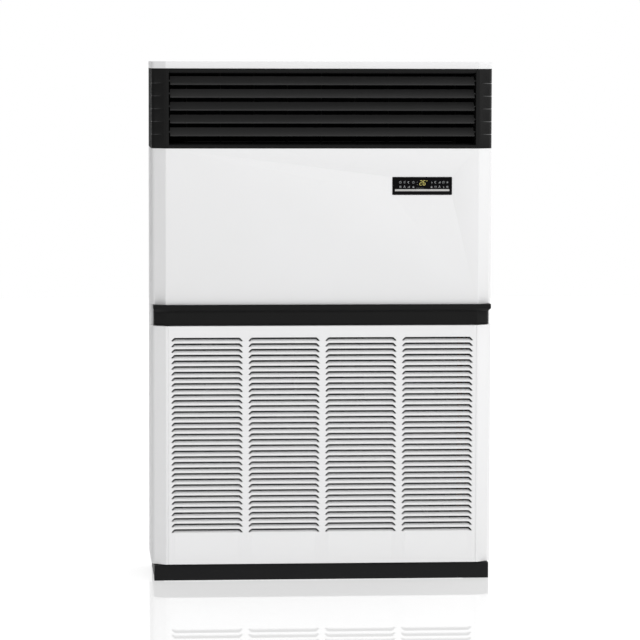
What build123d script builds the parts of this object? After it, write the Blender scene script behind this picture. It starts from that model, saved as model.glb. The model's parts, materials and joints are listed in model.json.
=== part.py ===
from build123d import *
import math
import os

# Floor standing cabinet air conditioner: the indoor unit of a split system.
# Millimetres. The origin is on the floor, in the middle of the cabinet's plan. +X is to the
# right of someone who faces the unit, the front looks along -Y and +Z is up.
# The air comes in through the louvred lower panel and the two filters, goes up through the
# blower and the slanted coil, and leaves between the tilting blades at the top.

# ---------------------------------------------------------------- driving dimensions
BODY_WIDTH = 1215.0
DEPTH = 395.0  # from the nose of the ledge to the screw heads on the back
PLINTH_HEIGHT = 58.0
INTAKE_HEIGHT = 856.5
BAND_HEIGHT = 74.0
UPPER_HEIGHT = 554.5
OUTLET_HEIGHT = 282.5
RIM_HEIGHT = 24.5

CORNER_WIDTH = 50.5  # bevelled corner, from the crease in the front to the side
BEVEL_ANGLE = 34.0
CREASE_RADIUS = 8.0
CORNER_RADIUS = 30.0
WING_DEPTH = 80.0  # how far the front panels reach back round the corner
LEDGE_PROUD = 10.0  # the black ledge stands this far in front of the panels

SHEET = 1.2  # painted cabinet sheet
BASE_SHEET = 1.5
FLANGE = 20.0  # turned-in edge of the side panels
PANEL_FLANGE = 15.0  # turned-in edge of the front panels and the cover
SEAM_GAP = 2.0
FIT = 0.3  # clearance of parts that seat on each other
PIN_FIT = 0.05  # radial clearance of a turning pin
PIN_SIDES = 12  # the many small pins and their holes are drawn with flats
RIM_SIDES = 24  # and the large hidden rims with these
SCREW_HEAD = 2.0
SCREW_RADIUS = 5.0

# Base
CHANNEL_FLANGE = 45.0
CHANNEL_SHEET = 2.5
CHANNEL_INSET = 9.5  # from the cabinet's side to the outside of the rail
CHANNEL_SETBACK = 72.0  # from the front panel to the front end of the rail
ANCHOR_RADIUS = 6.0
ANCHOR_FROM_WEB = 21.0
ANCHOR_FRONT_Y = -60.0
ANCHOR_REAR_Y = 150.0
KICK_SHEET = 1.5
KICK_SETBACK = 8.0  # the plinth's face stands this far behind the front panels
KICK_TOP_FLANGE = 40.0
KICK_FLOOR_GAP = 1.5
KICK_TOP_GAP = 1.0
BASE_EDGE = 10.0

# Back
BACK_EDGE = 6.0
PAN_DEPTH = 4.0
PAN_MARGIN = 40.0
SERVICE_TOP = 300.0  # top edge of the lower back sheet, which has the openings
PAN_BOTTOM = 330.0
PAN_BREAK = 950.0
PAN_BREAK_GAP = 60.0
PAN_TOP_MARGIN = 45.0
OPENING_FROM_PIPE = 8.0  # the pipe opening's middle is this far inside the suction pipe
PIPE_OPENING_Z = 205.0
PIPE_OPENING_WIDTH = 150.0
PIPE_OPENING_HEIGHT = 110.0
PIPE_PLATE_EDGE = 32.0
CABLE_FROM_SIDE = 107.5
CABLE_Z = 205.0
CABLE_RADIUS = 11.0
GROMMET_WALL = 3.0
GROMMET_LIP = 4.0
BACK_SCREW_ROWS = 5

# Black band and ledge under the upper panel
BAND_INSET = 7.5
BAND_WALL = 3.0
LEDGE_HEIGHT = 25.5
LEDGE_BEVEL = 10.5
LEDGE_END_INSET = 5.5
LEDGE_REACH = 75.5

# Display
DISPLAY_FROM_CREASE = 203.0
DISPLAY_Z = 1410.0
DISPLAY_WIDTH = 213.0
DISPLAY_HEIGHT = 63.5
DISPLAY_PROUD = 0.8
DISPLAY_RADIUS = 2.5
DISPLAY_LIP = 6.0
POST_INSET = 10.0
BOARD_THICKNESS = 1.6
BOARD_MARGIN = 6.0
POST_LENGTH = 7.0
POST_RADIUS = 3.0
TRIM_LENGTH = 194.5
TRIM_HEIGHT = 7.0
TRIM_DROP = 15.0
TRIM_PROUD = 0.6

# Air outlet
OUTLET_WALL = 3.0
CHEEK_INSIDE = 11.0  # from the crease to the cheek that carries the blades
CHEEK_WALL = 4.0
CHEEK_REAR_Y = -45.0
TOP_RAIL_HEIGHT = 14.5
BOTTOM_RAIL_HEIGHT = 12.0
RAIL_DEPTH = 22.0
RAIL_RIDGE = 1.2
GROOVE_DEPTH = 1.2
GROOVE_HEIGHT = 3.0

BLADE_COUNT = 5
BLADE_PITCH = 45.3
TOP_BLADE_DROP = 43.3  # from the rim down to the pivot of the top blade
BLADE_CHORD = 48.0
BLADE_THICKNESS = 6.5
BLADE_END_GAP = 5.0
BLADE_REST_ANGLE = 36.0
BLADE_PIVOT_SETBACK = 27.5
BLADE_PIN_RADIUS = 3.0
BLADE_ARM = 18.0
BLADE_ARM_WIDTH = 8.0
ARM_THICKNESS = 4.0
LINK_THICKNESS = 3.0
LINK_WIDTH = 10.0
LINK_PIN_RADIUS = 2.0
LINK_PIN_LENGTH = 5.0
LINK_GAP = 1.0

VANE_COUNT = 9
VANE_END_ROOM = 66.0  # from a cheek to the first vane
VANE_PIVOT_SETBACK = 102.5
VANE_CHORD = 80.0
VANE_BALANCE = 38.0  # from the leading edge of a vane to its pivot
VANE_THICKNESS = 2.0
VANE_RAIL_SHEET = 3.0
VANE_RAIL_FRONT = 50.0
VANE_RAIL_REAR = 40.0
VANE_PIN_RADIUS = 3.0
VANE_STEM = 14.0
VANE_ARM = 25.0
VANE_ARM_SHEET = 3.0
VANE_ARM_WIDTH = 8.0
VANE_LINK_MARGIN = 8.0
SWING_MOTOR_RADIUS = 17.5
SWING_MOTOR_LENGTH = 19.5
SWING_BOSS_HEIGHT = 2.5
SWING_BOSS_RADIUS = 9.0

# Louvred intake panel
SEAM_INSIDE = 7.0  # from the crease to the edge of the louvred panel
LOUVRE_ROWS = 35
LOUVRE_COLUMNS = 4
LOUVRE_PITCH = 20.13
LOUVRE_TOP_DROP = 41.0  # from the panel's top edge to the top of the first slot
LOUVRE_MARGIN = 11.4
LOUVRE_GAP = 20.4
LOUVRE_HEIGHT = 14.5
LOUVRE_CORNER = 8.0
LOUVRE_DEPTH = 11.0
LAP_WIDTH = 10.0
LAP_SEAT = 3.0
STUD_RADIUS = 4.0
STUD_INSIDE = 5.0
STUD_FROM_END = 92.0

# Filters and their rack
RACK_DEPTH = 20.0
RACK_SHEET = 2.0
RACK_SIDE_WIDTH = 36.0
RACK_SIDE_ROOM = 41.5
RACK_CENTRE_WIDTH = 24.0
LEDGE_LIP = 8.0
TOP_CHANNEL_ROOM = 10.0  # above a filter that is lifted
FILTER_FRAME = 14.0
FILTER_THICKNESS = 8.0
FILTER_SIDE_GAP = 4.0
FILTER_LIFT = 12.0
FILTER_ENGAGE = 10.0
FILTER_MESH = 1.0
FILTER_BAR = 5.0
FILTER_CROSS_BARS = 4

# Deck, bulkhead, blower
DECK_Z = 940.0
DECK_SHEET = 1.5
WHEEL_Y = 15.0
WHEEL_Z = 710.0
WHEEL_RADIUS = 112.0
WHEEL_WIDTH = 236.0
WHEEL_BLADES = 24
WHEEL_BLADE_DEPTH = 16.0
WHEEL_BLADE_SHEET = 1.2
WHEEL_BLADE_ANGLE = 35.0
WHEEL_RING = 3.0
HUB_RADIUS = 26.0
HUB_LENGTH = 50.0
SCROLL_FROM_SIDE = 317.5
SCROLL_WIDTH = 270.0
SCROLL_WALL = 1.2
SCROLL_STEP = 8.0  # offset of the arc centres from the wheel's axis
SCROLL_TONGUE = 125.0  # radius of the first arc
INLET_RADIUS = 90.0
COLLAR_LENGTH = 14.0
SHAFT_RADIUS = 10.0
SHAFT_PAST_SCROLL = 30.0
MOTOR_RADIUS = 75.0
MOTOR_LENGTH = 150.0
SPIGOT_RADIUS = 30.0
SPIGOT_REACH = 94.0
CRADLE_X = 88.0
CRADLE_SHEET = 3.0
CRADLE_WIDTH = 150.0
BEARING_BAR = 4.0
BEARING_WIDTH = 40.0
BEARING_FOOT = 15.0
BEARING_BOSS_RADIUS = 20.0
BEARING_BOSS_LENGTH = 19.0

# Coil, pan and pipes
COIL_SIDE_ROOM = 127.5  # for the bends on the left and the pipes on the right
COIL_LENGTH = 520.0
COIL_THICKNESS = 60.0
COIL_ANGLE = 20.0
COIL_FOOT_FROM_PAN = 52.0
COIL_PLATE = 2.0
COIL_PLATE_MARGIN = 6.0
DRAIN_PAN_GAP = 3.1
DRAIN_PAN_DEPTH = 104.0
DRAIN_PAN_PAST_COIL = 20.0
DRAIN_PAN_HEIGHT = 44.0
DRAIN_PAN_WALL = 2.0
BEND_COUNT = 6
BEND_PITCH = 75.0
BEND_RADIUS = 12.7
COIL_TUBE_RADIUS = 4.76
SUCTION_RADIUS = 11.1
SUCTION_FROM_COIL = 35.0
SUCTION_JOINT_Z = 1100.0
LIQUID_RADIUS = 6.35
LIQUID_FROM_SUCTION = 33.0
LIQUID_JOINT_Z = 1250.0
DRAIN_RADIUS = 10.0
DRAIN_FROM_SUCTION = 50.0
PIPE_BEND = 32.0
PIPE_END_SETBACK = 55.5
PIPE_STUB = 30.0
DECK_HOLE_GAP = 2.0

# Electrical parts on the bulkhead
BOX_FROM_SIDE = 67.5
BOX_WIDTH = 420.0
BOX_BOTTOM_Z = 1030.0
BOX_HEIGHT = 280.0
BOX_DEPTH = 66.0
BOX_LID = 10.0
TERMINAL_X = 60.0
TERMINAL_Z = 1060.0
TERMINAL_WIDTH = 120.0
TERMINAL_HEIGHT = 34.0
TERMINAL_DEPTH = 24.0
TERMINAL_POLES = 6
TERMINAL_WALL = 2.0

# ---------------------------------------------------------------- places worked out from them
HALF = BODY_WIDTH / 2
CREASE_X = HALF - CORNER_WIDTH
SEAM_X = CREASE_X - SEAM_INSIDE
CHEEK_X = CREASE_X - CHEEK_INSIDE
Z_BASE = PLINTH_HEIGHT
Z_BAND = Z_BASE + INTAKE_HEIGHT
Z_UPPER = Z_BAND + BAND_HEIGHT
Z_OUTLET = Z_UPPER + UPPER_HEIGHT
Z_RIM = Z_OUTLET + OUTLET_HEIGHT
HEIGHT = Z_RIM + RIM_HEIGHT
LEDGE_FRONT = -DEPTH / 2
FACE = LEDGE_FRONT + LEDGE_PROUD
REAR = DEPTH / 2 - SCREW_HEAD
INNER_REAR = REAR - PAN_DEPTH - SHEET - FIT
WING_END = FACE + WING_DEPTH
SIDE_FRONT = WING_END + SEAM_GAP
BULKHEAD_FRONT = SIDE_FRONT + SHEET
DECK_TOP = DECK_Z + DECK_SHEET
BEVEL = math.radians(BEVEL_ANGLE)
BEVEL_DEPTH = (HALF - CREASE_X) * math.tan(BEVEL)
INNER_HALF = HALF - SHEET - FIT
SCROLL_X = HALF - SCROLL_FROM_SIDE
TOP_CHANNEL_DEPTH = FILTER_ENGAGE + FILTER_LIFT + TOP_CHANNEL_ROOM
VANE_PIVOT_Y = FACE + VANE_PIVOT_SETBACK
DRAIN_PAN_FRONT = BULKHEAD_FRONT + SHEET + DRAIN_PAN_GAP
DRAIN_PAN_REAR = DRAIN_PAN_FRONT + DRAIN_PAN_DEPTH
COIL_FOOT_Y = DRAIN_PAN_FRONT + COIL_FOOT_FROM_PAN
COIL_WIDTH = 2 * (HALF - COIL_SIDE_ROOM)
SUCTION_X = COIL_WIDTH / 2 + SUCTION_FROM_COIL
LIQUID_X = SUCTION_X + LIQUID_FROM_SUCTION
DRAIN_X = SUCTION_X - DRAIN_FROM_SUCTION
PIPE_OPENING_X = SUCTION_X - OPENING_FROM_PIPE
PIPE_END_Y = REAR - PIPE_END_SETBACK
CABLE_X = CABLE_FROM_SIDE - HALF
DISPLAY_X = CREASE_X - DISPLAY_FROM_CREASE

os.makedirs("parts", exist_ok=True)


def save(part, name):
    """Name a finished part and write it to its own file."""
    part.label = name
    export_step(part, f"parts/{name}.step")


def plan_outline(inset, rear=None):
    """Plan of the cabinet with bevelled front corners, drawn `inset` inside its skin."""
    rear = REAR - inset if rear is None else rear
    crease = CREASE_X - inset * math.tan(BEVEL / 2)
    side = HALF - inset
    side_y = FACE + BEVEL_DEPTH + inset * math.tan((math.pi / 2 - BEVEL) / 2)
    front = FACE + inset
    with BuildSketch() as outline:
        with BuildLine():
            Polyline(
                (-side, rear),
                (-side, side_y),
                (-crease, front),
                (crease, front),
                (side, side_y),
                (side, rear),
                close=True,
            )
        make_face()
        fillet(outline.vertices().group_by(Axis.Y)[0], max(CREASE_RADIUS - inset, SHEET))
        fillet(outline.vertices().group_by(Axis.Y)[-2], max(CORNER_RADIUS - inset, SHEET))
    return outline.sketch


def wall_section(inset, thickness, reach, from_x=0.0):
    """Plan of a wall that follows the front from `from_x` outwards and back as far as `reach`."""
    with BuildSketch() as section:
        add(plan_outline(inset))
        add(plan_outline(inset + thickness), mode=Mode.SUBTRACT)
        with Locations((0, FACE + reach / 2)):
            Rectangle(BODY_WIDTH, reach, mode=Mode.INTERSECT)
        if from_x > 0:
            Rectangle(2 * from_x, 2 * DEPTH, mode=Mode.SUBTRACT)
    return section.sketch


def pin(radius):
    """Section of a small pin, in the sketch being drawn."""
    RegularPolygon(radius, PIN_SIDES)


def pin_hole(radius, mode=Mode.SUBTRACT):
    """Section of the hole that a small pin turns in, in the sketch being drawn."""
    RegularPolygon(radius + PIN_FIT, PIN_SIDES, major_radius=False, mode=mode)


def block(x_range, y_range, z_range, mode=Mode.ADD):
    """A rectangular block between pairs of limits, in the part being built."""
    spans = [high - low for low, high in (x_range, y_range, z_range)]
    middle = [(low + high) / 2 for low, high in (x_range, y_range, z_range)]
    with Locations(tuple(middle)):
        Box(*spans, mode=mode)


# ---------------------------------------------------------------- base
RAIL_OUTER = HALF - CHANNEL_INSET
RAIL_FRONT = FACE + CHANNEL_SETBACK
RAIL_REAR = REAR - SHEET - FIT
ANCHOR_X = RAIL_OUTER - ANCHOR_FROM_WEB

with BuildPart() as base_channels:
    block((RAIL_OUTER - CHANNEL_FLANGE, RAIL_OUTER), (RAIL_FRONT, RAIL_REAR), (0, Z_BASE))
    block(
        (RAIL_OUTER - CHANNEL_FLANGE - 1, RAIL_OUTER - CHANNEL_SHEET),
        (RAIL_FRONT - 1, RAIL_REAR + 1),
        (CHANNEL_SHEET, Z_BASE - CHANNEL_SHEET),
        mode=Mode.SUBTRACT,
    )
    with Locations((ANCHOR_X, ANCHOR_FRONT_Y, 0), (ANCHOR_X, ANCHOR_REAR_Y, 0)):
        Cylinder(ANCHOR_RADIUS, 4 * CHANNEL_SHEET, mode=Mode.SUBTRACT)
    mirror(about=Plane.YZ)
save(base_channels.part, "base_channels")

KICK_INNER = RAIL_OUTER
KICK_OUTER = KICK_INNER + KICK_SHEET
KICK_FRONT = FACE + KICK_SETBACK
KICK_TOP = Z_BASE - KICK_TOP_GAP
# The plinth has square corners under the bevelled ones, and its top edge is turned in there
with BuildPart() as kick_plate:
    block((-KICK_OUTER, KICK_OUTER), (KICK_FRONT, WING_END), (KICK_FLOOR_GAP, KICK_TOP))
    block(
        (-KICK_INNER, KICK_INNER),
        (KICK_FRONT + KICK_SHEET, WING_END + 1),
        (KICK_FLOOR_GAP - 1, KICK_TOP - KICK_SHEET),
        mode=Mode.SUBTRACT,
    )
    block(
        (-KICK_INNER, KICK_INNER),
        (KICK_FRONT + KICK_TOP_FLANGE, WING_END + 1),
        (KICK_TOP - 2 * KICK_SHEET, KICK_TOP + 1),
        mode=Mode.SUBTRACT,
    )
save(kick_plate.part, "kick_plate")

BASE_INSET = FLANGE + FIT
with BuildPart() as base_pan:
    with BuildSketch(Plane.XY.offset(Z_BASE)):
        add(plan_outline(BASE_INSET, INNER_REAR))
    extrude(amount=BASE_EDGE)
    with BuildSketch(Plane.XY.offset(Z_BASE + BASE_SHEET)):
        add(plan_outline(BASE_INSET + BASE_SHEET, INNER_REAR - BASE_SHEET))
    extrude(amount=BASE_EDGE, mode=Mode.SUBTRACT)
save(base_pan.part, "base_pan")

# ---------------------------------------------------------------- skin
for side, hand in ((-1, "left"), (1, "right")):
    skin = sorted((side * HALF, side * (HALF - FLANGE)))
    hollow = sorted((side * (HALF - SHEET), side * (HALF - FLANGE - 1)))
    with BuildPart() as side_panel:
        block(skin, (SIDE_FRONT, REAR - SHEET), (Z_BASE, Z_RIM))
        block(
            hollow,
            (SIDE_FRONT + SHEET, REAR - 2 * SHEET),
            (Z_BASE + SHEET, Z_RIM - SHEET),
            mode=Mode.SUBTRACT,
        )
    save(side_panel.part, f"side_panel_{hand}")

BACK_HALF = HALF - BACK_EDGE
PAN_HALF = HALF - FLANGE - PAN_MARGIN
PIPE_PLATE_LEFT = PIPE_OPENING_X - PIPE_OPENING_WIDTH / 2 - PIPE_PLATE_EDGE
PAN_RANGES = (
    (PAN_BOTTOM, PAN_BREAK - PAN_BREAK_GAP / 2),
    (PAN_BREAK + PAN_BREAK_GAP / 2, Z_RIM - PAN_TOP_MARGIN),
)
with BuildPart() as rear_panel:
    block((-BACK_HALF, BACK_HALF), (REAR - SHEET, REAR), (SERVICE_TOP + FIT, Z_RIM - FIT))
    for left, right in ((-BACK_HALF, PIPE_PLATE_LEFT - FIT), (PIPE_PLATE_LEFT, BACK_HALF)):
        block((left, right), (REAR - SHEET, REAR), (Z_BASE + SEAM_GAP, SERVICE_TOP))
    for low, high in PAN_RANGES:
        block((-PAN_HALF, PAN_HALF), (REAR - SHEET - PAN_DEPTH, REAR), (low, high))
        block(
            (SHEET - PAN_HALF, PAN_HALF - SHEET),
            (REAR - PAN_DEPTH, REAR + 1),
            (low + SHEET, high - SHEET),
            mode=Mode.SUBTRACT,
        )
    with Locations((PIPE_OPENING_X, REAR, PIPE_OPENING_Z)):
        Box(PIPE_OPENING_WIDTH, 4 * SHEET, PIPE_OPENING_HEIGHT, mode=Mode.SUBTRACT)
    with Locations(Location((CABLE_X, REAR, CABLE_Z), (90, 0, 0))):
        Cylinder(CABLE_RADIUS + GROMMET_WALL, 4 * SHEET, mode=Mode.SUBTRACT)
save(rear_panel.part, "rear_panel")

with BuildPart() as cable_grommet:
    with BuildSketch(Plane.XZ.offset(-(REAR - SHEET - GROMMET_WALL))):
        with Locations((CABLE_X, CABLE_Z)):
            RegularPolygon(CABLE_RADIUS + GROMMET_WALL + GROMMET_LIP, RIM_SIDES)
    extrude(amount=-(GROMMET_WALL + SHEET + SCREW_HEAD))
    with BuildSketch(Plane.XZ.offset(-(REAR - SHEET))):
        with Locations((CABLE_X, CABLE_Z)):
            Circle(CABLE_RADIUS + GROMMET_WALL + GROMMET_LIP + 1)
            RegularPolygon(CABLE_RADIUS + GROMMET_WALL, RIM_SIDES, mode=Mode.SUBTRACT)
    extrude(amount=-SHEET, mode=Mode.SUBTRACT)
    with Locations(Location((CABLE_X, REAR, CABLE_Z), (90, 0, 0))):
        Cylinder(CABLE_RADIUS, 8 * GROMMET_WALL, mode=Mode.SUBTRACT)
save(cable_grommet.part, "cable_grommet")

screw_x = HALF - FLANGE / 2 - BACK_EDGE / 2
screw_pitch = (Z_RIM - Z_BASE - 2 * FLANGE) / (BACK_SCREW_ROWS - 1)
with BuildPart() as cabinet_screws:
    with BuildSketch(Plane.XZ.offset(-REAR)):
        with Locations((0, (Z_BASE + Z_RIM) / 2)):
            with GridLocations(2 * screw_x, screw_pitch, 2, BACK_SCREW_ROWS):
                RegularPolygon(SCREW_RADIUS, 8)
    extrude(amount=-SCREW_HEAD)
save(cabinet_screws.part, "cabinet_screws")

with BuildPart() as top_cover:
    with BuildSketch(Plane.XY.offset(Z_RIM)):
        add(plan_outline(0))
    extrude(amount=RIM_HEIGHT)
    with BuildSketch(Plane.XY.offset(Z_RIM + SHEET)):
        add(plan_outline(SHEET))
    extrude(amount=RIM_HEIGHT - 2 * SHEET, mode=Mode.SUBTRACT)
    with BuildSketch(Plane.XY.offset(Z_RIM)):
        add(plan_outline(PANEL_FLANGE))
    extrude(amount=SHEET, mode=Mode.SUBTRACT)
save(top_cover.part, "top_cover")


def front_sheet(low, high, from_x=0.0):
    """Folded front sheet from one height to another, with its edges turned in."""
    skin = wall_section(0, SHEET, WING_DEPTH, from_x)
    edge = wall_section(0, PANEL_FLANGE, WING_DEPTH, from_x)
    with BuildPart() as sheet:
        with BuildSketch(Plane.XY.offset(low)):
            add(skin)
        extrude(amount=high - low)
        with BuildSketch(Plane.XY.offset(low), Plane.XY.offset(high - SHEET)):
            add(edge)
        extrude(amount=SHEET)
        for side in (-1, 1):
            turned_in = sorted((side * (HALF - SHEET / 2), side * (HALF - PANEL_FLANGE)))
            block(turned_in, (WING_END - SHEET, WING_END), (low, high))
    return sheet.part


DISPLAY_BOX = (DISPLAY_X, DISPLAY_Z)
with BuildPart() as upper_panel:
    add(front_sheet(Z_UPPER + FIT, Z_OUTLET - FIT))
    with BuildSketch(Plane.XZ.offset(-FACE + 1)):
        with Locations(DISPLAY_BOX):
            RectangleRounded(DISPLAY_WIDTH + 2 * FIT, DISPLAY_HEIGHT + 2 * FIT, DISPLAY_RADIUS)
    extrude(amount=-4 * SHEET, mode=Mode.SUBTRACT)
save(upper_panel.part, "upper_panel")

# ---------------------------------------------------------------- black band with its ledge
Z_LEDGE = Z_UPPER - LEDGE_HEIGHT
LEDGE_HALF = HALF - LEDGE_END_INSET
with BuildPart() as mid_band:
    with BuildSketch(Plane.XY.offset(Z_LEDGE)):
        with Locations((0, (LEDGE_FRONT + FACE + LEDGE_REACH) / 2)):
            Rectangle(2 * LEDGE_HALF, LEDGE_PROUD + LEDGE_REACH)
    extrude(amount=LEDGE_HEIGHT)
    under = mid_band.faces().sort_by(Axis.Z)[0].edges()
    chamfer(under.sort_by(Axis.Y)[:-1], LEDGE_BEVEL)
    back = mid_band.faces().sort_by(Axis.Y)[-1]
    offset(amount=-BAND_WALL, openings=back)
    with BuildSketch(Plane.XY.offset(Z_LEDGE)):
        add(plan_outline(BAND_INSET + BAND_WALL))
    extrude(amount=BAND_WALL, mode=Mode.SUBTRACT)
    with BuildSketch(Plane.XY.offset(Z_BAND)):
        add(wall_section(BAND_INSET, BAND_WALL, LEDGE_REACH))
    extrude(amount=Z_LEDGE + BAND_WALL - Z_BAND)
save(mid_band.part, "mid_band")

# ---------------------------------------------------------------- display
WINDOW_FRONT = FACE - DISPLAY_PROUD
WINDOW_BACK = FACE + SHEET
with BuildPart() as display_window:
    with BuildSketch(Plane.XZ.offset(-WINDOW_FRONT)):
        with Locations(DISPLAY_BOX):
            RectangleRounded(DISPLAY_WIDTH, DISPLAY_HEIGHT, DISPLAY_RADIUS)
    extrude(amount=-(WINDOW_BACK - WINDOW_FRONT))
    with BuildSketch(Plane.XZ.offset(-WINDOW_BACK)):
        with Locations(DISPLAY_BOX):
            Rectangle(DISPLAY_WIDTH + 2 * DISPLAY_LIP, DISPLAY_HEIGHT + 2 * DISPLAY_LIP)
    extrude(amount=-BOARD_THICKNESS)
    with BuildSketch(Plane.XZ.offset(-(WINDOW_BACK + BOARD_THICKNESS))):
        with Locations(DISPLAY_BOX):
            post_step = (DISPLAY_WIDTH - 2 * POST_INSET, DISPLAY_HEIGHT - 2 * POST_INSET)
            with GridLocations(*post_step, 2, 2):
                RegularPolygon(POST_RADIUS, 8)
    extrude(amount=-POST_LENGTH)
save(display_window.part, "display_window")

with BuildPart() as display_board:
    with BuildSketch(Plane.XZ.offset(-(WINDOW_BACK + BOARD_THICKNESS + POST_LENGTH))):
        with Locations(DISPLAY_BOX):
            Rectangle(DISPLAY_WIDTH - BOARD_MARGIN, DISPLAY_HEIGHT - BOARD_MARGIN)
    extrude(amount=-BOARD_THICKNESS)
save(display_board.part, "display_board")

with BuildPart() as display_trim:
    with BuildSketch(Plane.XZ.offset(-WINDOW_FRONT)):
        with Locations((DISPLAY_X, DISPLAY_Z - TRIM_DROP)):
            Rectangle(TRIM_LENGTH, TRIM_HEIGHT)
    extrude(amount=TRIM_PROUD)
save(display_trim.part, "display_trim")

# ---------------------------------------------------------------- air outlet frame
CHEEK_OUT = CHEEK_X + CHEEK_WALL
BLADE_PIVOT_Y = FACE + BLADE_PIVOT_SETBACK
BLADE_Z = [Z_RIM - TOP_BLADE_DROP - row * BLADE_PITCH for row in range(BLADE_COUNT)]
VANE_PITCH = 2 * (CHEEK_X - VANE_END_ROOM) / (VANE_COUNT - 1)
VANE_X = [(column - (VANE_COUNT - 1) / 2) * VANE_PITCH for column in range(VANE_COUNT)]
RAIL_HALF = CHEEK_X - FIT
FLOOR_Z = Z_OUTLET + BOTTOM_RAIL_HEIGHT
CEILING_Z = Z_RIM - TOP_RAIL_HEIGHT

with BuildPart() as outlet_top_rail:
    with BuildSketch(Plane.YZ.offset(-RAIL_HALF)):
        with BuildLine():
            Polyline(
                (FACE + RAIL_DEPTH, Z_RIM - FIT),
                (FACE, Z_RIM - FIT),
                (FACE, Z_RIM - TOP_RAIL_HEIGHT / 2),
                (FACE + RAIL_RIDGE, Z_RIM - TOP_RAIL_HEIGHT / 2 - RAIL_RIDGE),
                (FACE + RAIL_RIDGE, CEILING_Z + FIT),
                (FACE + RAIL_RIDGE + OUTLET_WALL, CEILING_Z + FIT),
                (FACE + RAIL_RIDGE + OUTLET_WALL, Z_RIM - OUTLET_WALL - FIT),
                (FACE + RAIL_DEPTH, Z_RIM - OUTLET_WALL - FIT),
                close=True,
            )
        make_face()
    extrude(amount=2 * RAIL_HALF)
save(outlet_top_rail.part, "outlet_top_rail")

with BuildPart() as outlet_bottom_rail:
    with BuildSketch(Plane.YZ.offset(-RAIL_HALF)):
        with BuildLine():
            Polyline(
                (FACE, Z_OUTLET),
                (FACE, FLOOR_Z - RAIL_RIDGE),
                (FACE + RAIL_RIDGE, FLOOR_Z),
                (FACE + RAIL_DEPTH, FLOOR_Z - OUTLET_WALL),
                (FACE + RAIL_DEPTH, FLOOR_Z - 2 * OUTLET_WALL),
                (FACE + OUTLET_WALL, FLOOR_Z - OUTLET_WALL),
                (FACE + OUTLET_WALL, Z_OUTLET + OUTLET_WALL),
                (FACE + RAIL_DEPTH, Z_OUTLET + OUTLET_WALL),
                (FACE + RAIL_DEPTH, Z_OUTLET),
                close=True,
            )
        make_face()
    extrude(amount=2 * RAIL_HALF)
save(outlet_bottom_rail.part, "outlet_bottom_rail")

for side, hand in ((-1, "left"), (1, "right")):
    cheek_x = sorted((side * CHEEK_X, side * CHEEK_OUT))
    with BuildPart() as outlet_corner:
        with BuildSketch(Plane.XY.offset(Z_OUTLET)):
            add(wall_section(0, OUTLET_WALL, WING_DEPTH, CHEEK_X))
            with Locations((-side * BODY_WIDTH / 2, 0)):
                Rectangle(BODY_WIDTH, DEPTH + 1, mode=Mode.SUBTRACT)
        extrude(amount=OUTLET_HEIGHT - FIT)
        for z in BLADE_Z:
            with BuildSketch(Plane.XY.offset(z - GROOVE_HEIGHT / 2)):
                add(wall_section(-1, 1 + GROOVE_DEPTH, WING_DEPTH, CREASE_X + CREASE_RADIUS))
            extrude(amount=GROOVE_HEIGHT, mode=Mode.SUBTRACT)
        block(cheek_x, (FACE + OUTLET_WALL / 2, CHEEK_REAR_Y), (Z_OUTLET, Z_RIM - FIT))
        with BuildSketch(Plane.YZ.offset(cheek_x[0] - 1)):
            with Locations(*[(BLADE_PIVOT_Y, z) for z in BLADE_Z]):
                pin_hole(BLADE_PIN_RADIUS, Mode.ADD)
        extrude(amount=CHEEK_WALL + 2, mode=Mode.SUBTRACT)
    save(outlet_corner.part, f"outlet_corner_{hand}")

VANE_RAIL_Y = VANE_PIVOT_Y + (VANE_RAIL_REAR - VANE_RAIL_FRONT) / 2
with BuildPart() as vane_rails:
    for z in (FLOOR_Z, CEILING_Z - VANE_RAIL_SHEET):
        with BuildSketch(Plane.XY.offset(z)):
            with Locations((0, VANE_RAIL_Y)):
                Rectangle(2 * RAIL_HALF, VANE_RAIL_FRONT + VANE_RAIL_REAR)
            with Locations(*[(x, VANE_PIVOT_Y) for x in VANE_X]):
                pin_hole(VANE_PIN_RADIUS)
        extrude(amount=VANE_RAIL_SHEET)
save(vane_rails.part, "vane_rails")

# The motor that swings the vanes hangs under the lower rail, on the last vane's pin
with BuildPart() as swing_motor:
    with BuildSketch(Plane.XY.offset(FLOOR_Z)):
        with Locations((VANE_X[-1], VANE_PIVOT_Y)):
            RegularPolygon(SWING_BOSS_RADIUS, RIM_SIDES)
    extrude(amount=-SWING_BOSS_HEIGHT)
    with BuildSketch(Plane.XY.offset(FLOOR_Z - SWING_BOSS_HEIGHT)):
        with Locations((VANE_X[-1], VANE_PIVOT_Y)):
            RegularPolygon(SWING_MOTOR_RADIUS, RIM_SIDES)
    extrude(amount=-SWING_MOTOR_LENGTH)
    with BuildSketch(Plane.XY.offset(FLOOR_Z)):
        with Locations((VANE_X[-1], VANE_PIVOT_Y)):
            pin_hole(VANE_PIN_RADIUS, Mode.ADD)
    extrude(amount=-2 * SWING_BOSS_HEIGHT, mode=Mode.SUBTRACT)
save(swing_motor.part, "swing_motor")

# ---------------------------------------------------------------- tilting blades
BLADE_HALF = CHEEK_X - BLADE_END_GAP
ARM_IN = CHEEK_OUT + LINK_GAP
ARM_OUT = ARM_IN + ARM_THICKNESS
TILT = math.radians(BLADE_REST_ANGLE)


def blade_plane(x, z):
    """Section plane of a blade at rest: local x runs from its pivot to its front edge."""
    return Plane(
        origin=(x, BLADE_PIVOT_Y, z),
        x_dir=(0, -math.cos(TILT), -math.sin(TILT)),
        z_dir=(1, 0, 0),
    )


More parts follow.
